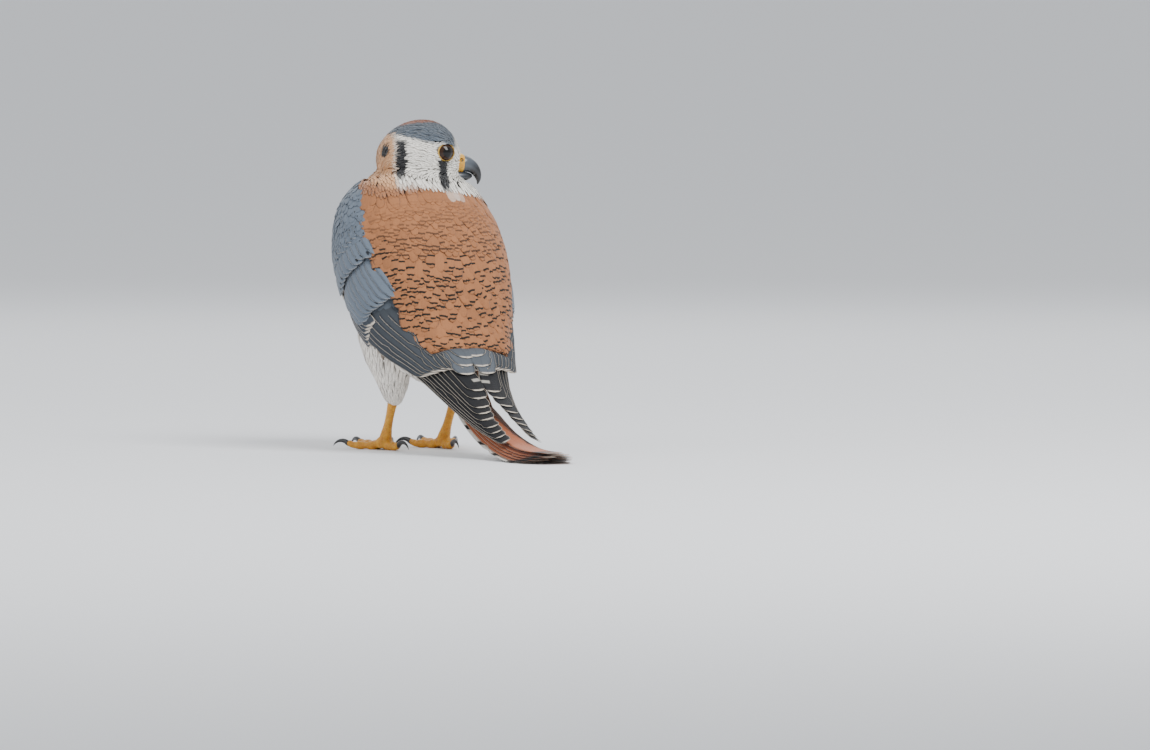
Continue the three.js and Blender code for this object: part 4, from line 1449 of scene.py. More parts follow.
def wing_place(points: Array, s: Array, out: Array) -> tuple[Array, Array]:
    """Place of points across a folded wing, and how near its outer face they are.

    Args:
        points: Places in millimetres.
        s: Distances along the spine.
        out: Distances out towards the back.

    Returns:
        Share across, and distance from the face as a share of the wing's breadth.
    """
    breadth, rise, drop, middle, low, high = columns_at(WING_PROFILE, s)
    up = out - middle
    reach = np.where(up > 0, rise, drop)
    angle = np.degrees(np.arctan2(up / reach, np.abs(points[:, 0]) / breadth))
    off = np.hypot(points[:, 0] / breadth, up / reach) - 1
    return (angle - low) / (high - low), off


def area_of(points: Array) -> Array:
    """Finds the area that each root lies in.

    Args:
        points: Roots in millimetres.

    Returns:
        An Area for each.
    """
    s, out = SPINE.locate(points)
    local = HEAD.local(points)
    r = np.linalg.norm(local, axis=1)
    x, z = np.abs(points[:, 0]), points[:, 2]
    across, off = wing_place(points, s, out)
    areas = np.full(len(points), Area.NONE, object)
    front = out < -2
    areas[front & (s >= 4)] = Area.BREAST
    areas[front & (s < 4)] = Area.BELLY
    areas[front & (s < -40)] = Area.VENT
    areas[~front] = Area.MANTLE
    thigh = (z < 60) & (out < 0) & (x > 4) & (s < -6)
    areas[thigh] = Area.THIGH
    areas[thigh & (z < 33)] = Area.SHIN
    on_wing = (off > -0.12) & (across > 0.0) & (s < 45) & (s > -62) & (out > -30)
    over = on_wing & (across > scapular_edge(s, points[:, 0])) & (out > 0)
    areas[on_wing] = Area.NONE
    areas[on_wing & (s > 12)] = Area.COVERT
    areas[over & (s > -46)] = Area.SCAPULAR
    areas[(s < -62) & (s > -72) & (out > 0) & (x < 9) & ~on_wing] = Area.MANTLE
    areas[over & (across > 0.98) & (s > 2)] = Area.MANTLE
    neck = (s > 46) | ((z > 101) & (r < 30))
    areas[neck & ~on_wing] = Area.NAPE
    areas[((over & (s > 30)) | ~on_wing) & (above_collar(local) > -2.5)] = Area.NAPE
    head = r < 19.5
    areas[head] = Area.CROWN
    face = head & (local[:, 0] > -13) & (local[:, 2] < 9)
    areas[face | (head & (local[:, 0] > 8))] = Area.FACE
    return areas


def lie_of(points: Array) -> Array:
    """Finds the way that feathers lie, before it is laid on the surface.

    Args:
        points: Places in millimetres.

    Returns:
        A direction for each.
    """
    s, out = SPINE.locate(points)
    local = HEAD.local(points)
    r = np.linalg.norm(local, axis=1)
    down = -SPINE.headwards(s)
    back = smooth((out - 4) / 8)[:, None]
    spread = np.zeros_like(points)
    spread[:, 0] = np.sign(points[:, 0]) * smooth(np.abs(points[:, 0]) / 12) * 0.28
    down = down + spread * back * smooth((30 - s) / 20)[:, None]
    z, x = points[:, 2], np.abs(points[:, 0])
    leg = smooth((58 - z) / 14) * smooth((x - 4) / 5) * (out < 2) * smooth((-2 - s) / 8)
    down = mix(down, np.array([0.0, 0.12, -1.0]), leg[:, None])
    away = unit(points - HEAD.point(17.0, 0.0, -1.5))
    return unit(mix(away, down, smooth((r - 15.5) / 9)[:, None]))


def scatter(points: Array, spacings: Array, rng: np.random.Generator) -> Array:
    """Picks places that keep their spacing.

    Args:
        points: Candidates in millimetres, in random order.
        spacings: Spacing wanted at each.
        rng: Random source.

    Returns:
        Indices of the places picked.
    """
    cell = float(spacings.max())
    cells: dict[tuple[int, int, int], list[int]] = {}
    keys = np.floor(points / cell).astype(int)
    picked = []
    wanted = spacings * rng.uniform(0.86, 1.08, len(points))
    steps = [(i, j, k) for i in (-1, 0, 1) for j in (-1, 0, 1) for k in (-1, 0, 1)]
    for index, (place, key) in enumerate(zip(points, keys)):
        around = [(key[0] + i, key[1] + j, key[2] + k) for i, j, k in steps]
        near = [other for spot in around for other in cells.get(spot, ())]
        if near:
            gaps = ((points[near] - place) ** 2).sum(axis=1)
            if (gaps < (0.5 * (wanted[near] + wanted[index])) ** 2).any():
                continue
        cells.setdefault(tuple(key), []).append(index)
        picked.append(index)
    return np.array(picked)
@dataclass(frozen=True)
class Group:
    """Areas whose feathers make up one piece, and the record's slot for it."""

    areas: tuple[Area, ...]
    slot: str
    fine: bool = False


GROUPS = {
    "face": Group((Area.FACE,), "crown_feather", fine=True),
    "crown": Group((Area.CROWN, Area.NAPE), "crown_feather", fine=True),
    "mantle": Group((Area.MANTLE, Area.SCAPULAR), "back_feather"),
    "breast": Group((Area.BREAST, Area.BELLY), "breast_feather"),
    "covert": Group((Area.COVERT,), "wing_feather"),
    "thigh": Group((Area.THIGH, Area.SHIN, Area.VENT), "thigh_feather", fine=True),
}


@dataclass
class Drape:
    """Smooth surface that the coat lies along, with the way that feathers lie on each face."""

    tree: BVHTree
    lies: list[Vector]

    def lay(self, root: Array, length: float, yaw: float, places: Array) -> Iterator[tuple]:
        """Walks from a root along the surface, the way that a feather lies there.

        Args:
            root: Where the walk starts, in millimetres.
            length: Length of the feather.
            yaw: How far it is turned to one side, in radians.
            places: Shares of the length to stop at.

        Yields:
            The place, the surface's normal and the direction of the feather at each stop.
        """
        place, normal, face, _ = self.tree.find_nearest(Vector(root))
        place = Vector(root)
        for share, after in zip(places, np.append(places[1:], places[-1])):
            lie = flat_on(self.lies[face], normal, yaw)
            yield place, normal, lie
            place, normal, face, _ = self.tree.find_nearest(place + lie * ((after - share) * length))


@dataclass
class Coat:
    """Skin of the head, neck, trunk and thighs, and the small feathers over it."""

    seed: int = 31
    candidates: int = 90000
    rows: int = 8
    columns: int = 7
    fine_rows: int = 6
    fine_columns: int = 5
    skin_depth: float = 1.5
    face_depth: float = 0.75
    skin_voxel: float = 0.8
    drape_voxel: float = 0.9
    growth: float = 0.25
    mantle_lift: float = 2.4
    bill_from: float = 12.6
    bill_to: float = 23.0
    bill_radius: float = 4.9
    # Share by which feathers differ in size and tone, and radians by which they are turned
    size_vary: float = 0.1
    tone_vary: float = 0.09
    yaw_vary: float = 0.06
    rows_from: float = 46.0
    rows_to: float = -46.0
    flesh: tuple[str, ...] = ("torso", "neck", "head", "thigh_left", "thigh_right")

    def build(self) -> None:
        """Builds the skin and every area of small feathers."""
        grown = {name: self.growth for name in self.flesh}
        skin = merged("skin", grown, [], self.skin_voxel, 6)
        blanks = [wing_blank(side) for side in Side] + [mantle_blank(self.mantle_lift)]
        blanks += [eye_blank(side) for side in Side]
        drape = merged("drape", grown, blanks, self.drape_voxel, 12)
        points, _ = mesh_arrays(drape)
        drape.data.calc_loop_triangles()
        corners = np.empty(len(drape.data.loop_triangles) * 3, int)
        drape.data.loop_triangles.foreach_get("vertices", corners)
        bpy.data.objects.remove(drape)
        self.feathers(points, corners.reshape(-1, 3))
        self.dress_skin(skin)

    def dress_skin(self, skin: bpy.types.Object) -> None:
        """Sinks the skin below the coat and gives it the coat's markings.

        Args:
            skin: The joined skin.
        """
        points, normals = mesh_arrays(skin)
        near = smooth((22 - np.linalg.norm(HEAD.local(points), axis=1)) / 5)
        low = smooth((34 - points[:, 2]) / 8)
        depth = mix(self.skin_depth, self.face_depth, np.maximum(near, low))
        points = points - normals * depth[:, None]
        set_points(skin, points)
        attribute = skin.data.color_attributes.new("base", "FLOAT_COLOR", "POINT")
        attribute.data.foreach_set("color", PLUMAGE.at(points).ravel())
        add_map(skin, BAKE_MAP, bake_place(points))
        settle(skin, "skin", "back_feather", *self.flesh)

    def feathers(self, points: Array, corners: Array) -> None:
        """Scatters roots over the draping surface and lays a feather at each.

        Args:
            points: The surface's vertices in millimetres.
            corners: The corners of its triangles.
        """
        rng = np.random.default_rng(self.seed)
        a, b, c = (points[corners[:, i]] for i in range(3))
        size = np.linalg.norm(np.cross(b - a, c - a), axis=1)
        middle = (a + b + c) / 3
        closeness = [1 / CUTS[k].spacing ** 2 if k in CUTS else 0.0 for k in area_of(middle)]
        weight = size * np.array(closeness)
        pick = rng.choice(len(corners), self.candidates, p=weight / weight.sum())
        w = rng.dirichlet((1, 1, 1), self.candidates)
        roots = w[:, :1] * a[pick] + w[:, 1:2] * b[pick] + w[:, 2:] * c[pick]
        areas = area_of(roots)
        roots, areas = roots[areas != Area.NONE], areas[areas != Area.NONE]
        mantle = GROUPS["mantle"].areas
        in_rows = np.array([k in mantle for k in areas]) & (SPINE.locate(roots)[0] > self.rows_to)
        roots, areas = roots[~in_rows], areas[~in_rows]
        kept = scatter(roots, np.array([CUTS[k].spacing for k in areas]), rng)
        rows = self.back_rows(rng)
        kinds = area_of(rows)
        on_back = [k in mantle for k in kinds]
        roots = np.concatenate([roots[kept], rows[on_back]])
        areas = np.concatenate([areas[kept], kinds[on_back]])
        clear = self.clear_of_bare_skin(roots)
        roots, areas = roots[clear], areas[clear]
        tree = BVHTree.FromPolygons([Vector(p) for p in points], corners.tolist())
        drape = Drape(tree, [Vector(v) for v in lie_of(middle)])
        for name, group in GROUPS.items():
            chosen = np.array([area in group.areas for area in areas])
            self.group(name, roots[chosen], areas[chosen], drape, rng)

    def back_rows(self, rng: np.random.Generator) -> Array:
        """Places the mantle and scapulars in staggered rows from the neck to the rump.

        Args:
            rng: Random source.

        Returns:
            Their roots, in millimetres.
        """
        roots = []
        s, row = self.rows_from, 0
        while s > self.rows_to:
            low = smooth((20 - s) / 50)
            share = np.linspace(-1, 1, 401)
            line = back_point(np.full(401, s), share, np.full(401, self.mantle_lift))
            way = np.append(0, np.cumsum(np.linalg.norm(np.diff(line, axis=0), axis=1)))
            step = mix(2.9, 3.9, low)
            places = np.arange(-40, 41) * step + (row % 2) * step / 2 + way[200]
            places += rng.uniform(-0.12, 0.12, len(places)) * step
            share = np.interp(places[(places > 0) & (places < way[-1])], way, share)
            along = s + rng.uniform(-0.12, 0.12, len(share)) * step
            roots.append(back_point(along, share, np.full(len(share), self.mantle_lift)))
            s -= mix(2.3, 3.0, low)
            row += 1
        return np.concatenate(roots)

    def clear_of_bare_skin(self, roots: Array) -> Array:
        """Finds roots that are clear of the eyes' bare rings and of the bill.

        Args:
            roots: Roots in millimetres.

        Returns:
            True for each that is clear.
        """
        local = HEAD.local(roots)
        clear = np.ones(len(roots), bool)
        for side in Side:
            clear &= ~EYE.hides(local, side, EYE.rooted_from)
        forward, left, up = local.T
        bill = np.hypot(left, up + 1) < self.bill_radius
        under = (forward < self.bill_to) & (np.hypot(left / 4.0, (up + 6.8) / 2.2) < 1)
        return clear & ~((forward > self.bill_from) & (bill | under))

    def group(
        self, name: str, roots: Array, areas: Array, drape: Drape, rng: np.random.Generator
    ) -> None:
        """Builds the piece that holds one group of feathers.

        Args:
            name: The group's name.
            roots: Roots in millimetres.
            areas: The area of each.
            drape: The surface that they lie along.
            rng: Random source.
        """
        count, group = len(roots), GROUPS[name]
        across = self.fine_columns if group.fine else self.columns
        rows = self.fine_rows if group.fine else self.rows
        cuts = [CUTS[k] for k in areas]
        size = 1 + self.size_vary * rng.uniform(-1, 1, count)
        length = np.array([k.length for k in cuts]) * size
        length *= room_before_eyes(roots, length)
        half = np.array([k.half_width for k in cuts]) * size
        low = -0.75 * np.array([k.stand for k in cuts])
        blunt = np.array([k.blunt for k in cuts])
        rows_at = 1 - (1 - np.linspace(0, 1, rows + 1)[:-1]) ** 1.3
        t = rows_at[None, :]
        past = np.clip((t - blunt[:, None]) / (1 - blunt[:, None]), 0, 0.999)
        power = np.array([k.tip for k in cuts])[:, None]
        widths = half[:, None] * np.minimum(1, 0.45 + 2.0 * t) * np.sqrt(1 - past**power)
        widths *= 1 - 0.14 * (rng.uniform(0, 1, widths.shape) > 0.85) * (t > 0.3)
        # The barbs part at the tip, so its edge is ragged
        teeth = rng.uniform(-0.03, 0.03, (count, across))
        yaw = rng.normal(0, self.yaw_vary, count)
        lift = rng.uniform(-0.05, 0.05, count)
        columns = np.linspace(-1, 1, across)
        grid = np.empty((count, rows, across, 3))
        tips, outward = np.empty((count, 3)), np.empty((count, 3))
        places = np.append(rows_at, 1.0)
        for i in range(count):
            stops = drape.lay(roots[i], length[i], yaw[i], places)
            for k, (place, normal, lie) in enumerate(stops):
                height = low[i] + (0.2 + lift[i] - low[i]) * places[k] ** 0.8
                if k == rows:
                    tips[i] = place + normal * (height - 0.08)
                    break
                if k == 0:
                    outward[i] = normal
                cross = lie.cross(normal).normalized()
                row = widths[i, k]
                ends = [drape.tree.find_nearest(place + cross * (row * way))[:2] for way in (-1, 1)]
                for j, share in enumerate(columns):
                    near, up = ends[0] if share < 0 else ends[1]
                    spot = place.lerp(near, abs(share))
                    bend = normal.lerp(up, abs(share)).normalized()
                    crown = 0.09 * row * (1 - share * share)
                    slip = length[i] * teeth[i, j] * max(0.0, places[k] - 0.6) * 2.5
                    grid[i, k, j] = spot + bend * (height + crown) + lie * slip
        faces = Faces()
        colours = self.colours(roots + 0.7 * (tips - roots), areas, rng)
        patch = np.full((count, 2), BAKE_PATCH)
        add_vanes(
            faces, grid, tips, outward, colours, bake_place(roots), patch, rows_at, widths, length
        )
        settle(faces.build(f"coat_{name}"), f"{name}_vane", group.slot)

    def colours(
        self, points: Array, areas: Array, rng: np.random.Generator
    ) -> tuple[Array, Array, Array]:
        """Works out the colours of feathers.

        Args:
            points: A place that each one covers, in millimetres.
            areas: The area of each.
            rng: Random source.

        Returns:
            Base colours, mark colours and mark strengths.
        """
        base = PLUMAGE.at(points)
        strength = np.array([MARK_STRENGTH.get(k, 0.0) for k in areas])
        s, _ = SPINE.locate(points)
        wing = areas == Area.COVERT
        base[wing] = linear(PLUMAGE.blue_grey)
        over = areas == Area.SCAPULAR
        base[over] = linear(PLUMAGE.rufous)
        upper = (areas == Area.MANTLE) | over
        strength = np.where(upper, strength * smooth((30 - s) / 30), strength)
        strength *= np.where(upper, rng.uniform(0, 1, len(points)) > 0.25, 1.0)
        strength *= np.where(wing, rng.uniform(0, 1, len(points)) > 0.65, 1.0)
        flank = smooth((np.abs(points[:, 0]) - 10) / 10)
        under = (areas == Area.BELLY) | (areas == Area.BREAST)
        strength = np.where(under, strength * flank, strength)
        base = base * (1 + self.tone_vary * rng.uniform(-1, 1, (len(points), 1)))
        base[:, 3] = 1.0
        mark = np.tile(linear(PLUMAGE.mark), (len(points), 1))
        return np.clip(base, 0, 1), mark, np.clip(strength, 0, 1)


MARK_STRENGTH = {
    Area.MANTLE: 0.8,
    Area.SCAPULAR: 1.0,
    Area.BREAST: 0.15,
    Area.BELLY: 0.8,
    Area.COVERT: 0.8,
    Area.CROWN: 0.4,
}


def eye_blank(side: Side) -> bpy.types.Object:
    """Plain ball a little larger than an eye, over which the feathers round it lie."""
    return ball("eye_blank", HEAD.world(EYE.centre(side)), EYE.radius + 0.25, 32, 16)


def room_before_eyes(roots: Array, length: Array) -> Array:
    """Finds how long feathers can be without lying over an eye.

    Args:
        roots: Roots in millimetres.
        length: Full length of each feather.

    Returns:
        Share of each length that there is room for.
    """
    lies = lie_of(roots)
    room = np.ones(len(roots))
    for share in np.linspace(1.0, 0.3, 8):
        local = HEAD.local(roots + lies * (length * share)[:, None])
        for side in Side:
            room = np.where(EYE.hides(local, side, EYE.laid_from), share * 0.9, room)
    return np.maximum(room, 0.3)


def flat_on(lie: Vector, normal: Vector, yaw: float) -> Vector:
    """Direction laid flat on a surface, turned a little to one side."""
    flat = (lie - normal * lie.dot(normal)).normalized()
    return flat * math.cos(yaw) + normal.cross(flat) * math.sin(yaw)


def bake_place(points: Array) -> Array:
    """Finds places on an unwrap of the skin's own shape.

    The trunk and legs are rolled out round the spine below, and the head is rolled out round
    its own upright line above.

    Args:
        points: Points in millimetres.

    Returns:
        A place on the map for each.
    """
    s, out = SPINE.locate(points)
    local = HEAD.local(points)
    head = np.linalg.norm(local, axis=1) < 20
    round_body = np.arctan2(points[:, 0], out + 2) / (2 * math.pi) + 0.5
    body = np.stack([0.02 + 0.96 * round_body, 0.02 + 0.56 * np.clip((s + 95) / 160, 0, 1)], 1)
    round_head = np.arctan2(local[:, 1], local[:, 0]) / (2 * math.pi) + 0.5
    rise = np.arctan2(local[:, 2], np.hypot(local[:, 0], local[:, 1])) / math.pi + 0.5
    top = np.stack([0.02 + 0.96 * round_head, 0.62 + 0.35 * rise], 1)
    return np.where(head[:, None], top, body)


Station = tuple[float, float, float, float, float]


def loft_grid(
    sections: tuple[Station, ...], rings: int, count: int, power: float, bend: bool
) -> Array:
    """Rings of a bill piece in the head's frame.

    Args:
        sections: Forward, up, half width, depth above and depth below at each station.
        rings: Rings to make.
        count: Points in each ring.
        power: Roundness of the ring, where 2 is an oval and less is more pointed.
        bend: Whether rings turn with the piece's curve.

    Returns:
        Rings x points x 3, in millimetres.
    """
    keys = np.column_stack([np.arange(len(sections)), sections])
    t = np.linspace(0, len(sections) - 1, rings)
    forward, up, half, above, below = (profile_at(keys, c, t) for c in range(1, 6))
    lean = np.arctan2(np.gradient(up), np.gradient(forward)) * bend
    lean *= smooth(t)
    angle = full_turn(count)[None, :]
    cos, sin = np.cos(angle), np.sin(angle)
    x = np.sign(cos) * np.abs(cos) ** (2 / power) * half[:, None]
    y = np.sign(sin) * np.abs(sin) ** (2 / power) * np.where(sin > 0, above[:, None], below[:, None])
    axes = HEAD.axes()
    ring_up = axes[2] * np.cos(lean)[:, None] - axes[0] * np.sin(lean)[:, None]
    centre = HEAD.point(forward, 0.0, up)
    return centre[:, None] + x[..., None] * axes[1] + y[..., None] * ring_up[:, None]


@dataclass
class Bill:
    """Cere, hooked upper bill with its tooth, and lower bill."""

    # Forward, up, half width, depth above and depth below at each station of a piece
    cere: tuple[Station, ...] = (
        (9.5, -0.9, 4.6, 4.7, 3.4),
        (12.5, -0.9, 4.9, 5.0, 3.7),
        (15.5, -0.9, 4.6, 4.8, 3.6),
        (17.6, -1.0, 4.2, 4.3, 3.5),
        (18.5, -1.0, 3.75, 3.8, 3.3),
    )
    upper: tuple[Station, ...] = (
        (17.0, -1.0, 3.6, 3.6, 3.3),
        (18.7, -1.02, 3.8, 3.9, 3.5),
        (20.6, -1.5, 3.3, 3.5, 3.0),
        (22.8, -2.7, 2.6, 2.9, 2.3),
        (24.6, -4.7, 1.8, 2.1, 1.8),
        (25.5, -7.0, 1.0, 1.2, 1.1),
        (25.4, -9.3, 0.2, 0.25, 0.25),
    )
    lower: tuple[Station, ...] = (
        (9.5, -6.7, 4.0, 2.3, 2.3),
        (16.0, -6.6, 3.5, 2.4, 2.1),
        (19.3, -6.5, 2.7, 2.2, 1.7),
        (21.4, -6.4, 1.7, 1.7, 1.1),
        (22.6, -6.2, 0.6, 0.8, 0.4),
    )
    nostril: tuple[float, float, float] = (16.9, 4.1, 0.7)
    nostril_radius: float = 0.75
    nostril_depth: float = 1.3
    nostril_rim: float = 0.28
    # Place forward, height and half length of the tooth and of the notch beyond it
    tooth: tuple[float, float, float] = (22.6, 0.75, 0.55)
    notch: tuple[float, float, float] = (23.7, 0.55, 0.45)
    knob_depth: float = 0.35
    knob_radius: float = 0.27

    def build(self) -> None:
        """Builds the three pieces of the bill and the knobs in its nostrils."""
        cere = closed_tube("bill_cere", self.dented(loft_grid(self.cere, 44, 96, 2.2, False)))
        upper = closed_tube("bill_top", self.toothed(loft_grid(self.upper, 60, 72, 2.1, True)))
        lower = closed_tube("bill_under", loft_grid(self.lower, 36, 56, 2.2, False))
        settle(cere, "cere_skin", "cere_skin", "cere")
        settle(upper, "bill_horn", "horn", "bill_upper")
        settle(lower, "bill_horn", "horn", "bill_lower")
        for side in Side:
            self.tubercle(side)

    def dented(self, grid: Array) -> Array:
        """Sinks a round nostril with a slightly raised rim in each side of the cere.

        Args:
            grid: The cere's rings, in millimetres.

        Returns:
            The rings with both nostrils.
        """
        local = HEAD.local(grid)
        forward, _, up = self.nostril
        for side in Side:
            gap = np.hypot(local[..., 0] - forward, local[..., 2] - up)
            gap = np.where(local[..., 1] * side.value > 0, gap, np.inf)
            sink = self.nostril_depth * (1 - smooth((gap - self.nostril_radius * 0.75) / 0.35))
            rim = self.nostril_rim * np.exp(-(((gap - self.nostril_radius - 0.35) / 0.3) ** 2))
            local[..., 1] += side.value * (rim - sink)
        return HEAD.world(local)

    def toothed(self, grid: Array) -> Array:
        """Cuts the falcon's tooth and notch in each cutting edge of the upper bill.

        Args:
            grid: The upper bill's rings, in millimetres.

        Returns:
            The rings with both teeth and notches.
        """
        local = HEAD.local(grid)
        under = smooth((-local[..., 2] - 4.6) / 1.2)
        tooth, notch = (
            height * np.exp(-(((local[..., 0] - at) / half) ** 2))
            for at, height, half in (self.tooth, self.notch)
        )
        edge = smooth((np.abs(local[..., 1]) - 0.8) / 0.6) * under * (local[..., 2] > -7.2)
        local[..., 2] += edge * (notch - tooth)
        return HEAD.world(local)

    def tubercle(self, side: Side) -> None:
        """Builds the small knob in the middle of a nostril.

        Args:
            side: Side that it is on.
        """
        forward, out, up = self.nostril
        spot = HEAD.point(forward, side.value * (out - self.knob_depth), up)
        piece = ball(f"nostril_knob_{side.word}", spot, self.knob_radius, 20, 12)
        piece.data.shade_smooth()
        settle(piece, "cere_skin", "cere_skin")


@dataclass
class Eyes:
    """Dark eyes with bare yellow lids."""

    slack: float = 0.05
    cornea_rise: float = 0.55
    map_width: float = 14.0
    lid_folds: int = 30
    fold_height: float = 0.10
    # The eye's opening is a little longer than it is high
    lid_stretch: float = 0.05
    lid_radius: float = 3.95
    lid_tube: float = 0.45
    lid_plane: float = 3.75

    def build(self) -> None:
        """Builds both eyes and their lids."""
        for side in Side:
            self.eyeball(side)
            self.lids(side)

    def placed(self, side: Side, across: Array, upward: Array, outward: Array) -> Array:
        """Moves points from an eye's own directions to the frame.

        Args:
            side: Side that the eye is on.
            across: How far across the eye each point is, in millimetres.
            upward: How far up.
            outward: How far out from the eye's centre.

        Returns:
            The points in the frame.
        """
        look = EYE.look(side) @ HEAD.axes()
        up = HEAD.axes()[2]
        right = unit(np.cross(up, look))
        flat = across[..., None] * right + upward[..., None] * up
        return flat + outward[..., None] * look + HEAD.world(EYE.centre(side))

    def eyeball(self, side: Side) -> None:
        """Builds an eyeball with a raised cornea.

        Args:
            side: Side that it is on.
        """
        polar = np.linspace(0.02, math.pi - 0.02, 48)[:, None]
        around = full_turn(64)[None, :]
        radius = EYE.radius - self.slack
        rise = self.cornea_rise * (1 - smooth(polar / 0.75))
        across = radius * np.sin(polar) * np.cos(around)
        upward = radius * np.sin(polar) * np.sin(around)
        grid = self.placed(side, across, upward, radius * np.cos(polar) + rise)
        piece = closed_tube(f"eyeball_{side.word}", grid)
        places = 0.5 + np.stack([across, upward], -1).reshape(-1, 2) / self.map_width
        add_map(piece, "iris", np.concatenate([places, [[0.5, 0.5], [0.5, 0.5]]]))
        settle(piece, "eye", "eye", f"eye_{side.word}")

    def lids(self, side: Side) -> None:
        """Builds the bare wrinkled ring round an eye.

        Args:
            side: Side that it is on.
        """
        around = full_turn(120)[:, None]
        turned = full_turn(28)[None, :]
        folds = self.fold_height * np.cos(around * self.lid_folds) * np.maximum(np.cos(turned), 0)
        reach = self.lid_radius + (self.lid_tube + folds) * np.cos(turned)
        height = self.lid_plane + self.lid_tube * 0.9 * np.sin(turned) - 0.35 * np.cos(turned)
        wide = reach * (1 + self.lid_stretch * np.cos(around) ** 2)
        tall = reach * (1 - self.lid_stretch * np.sin(around) ** 2)
        grid = self.placed(side, wide * np.cos(around), tall * np.sin(around), height)
        settle(closed_ring(f"eye_ring_{side.word}", grid), "eye_ring_skin", "cere_skin")


def closed_ring(name: str, grid: Array) -> bpy.types.Object:
    """Makes a closed ring from a grid that meets itself both ways.

    Args:
        name: The piece's name.
        grid: Stations x points x 3, in millimetres.

    Returns:
        The new object.
    """
    rings, count, _ = grid.shape
    index = np.arange(rings * count).reshape(rings, count)
    beside, ahead = np.roll(index, -1, 1), np.roll(index, -1, 0)
    quads = np.stack([index, beside, np.roll(ahead, -1, 1), ahead], axis=-1).reshape(-1, 4)
    return closed_piece(name, grid.reshape(-1, 3), quads.tolist())


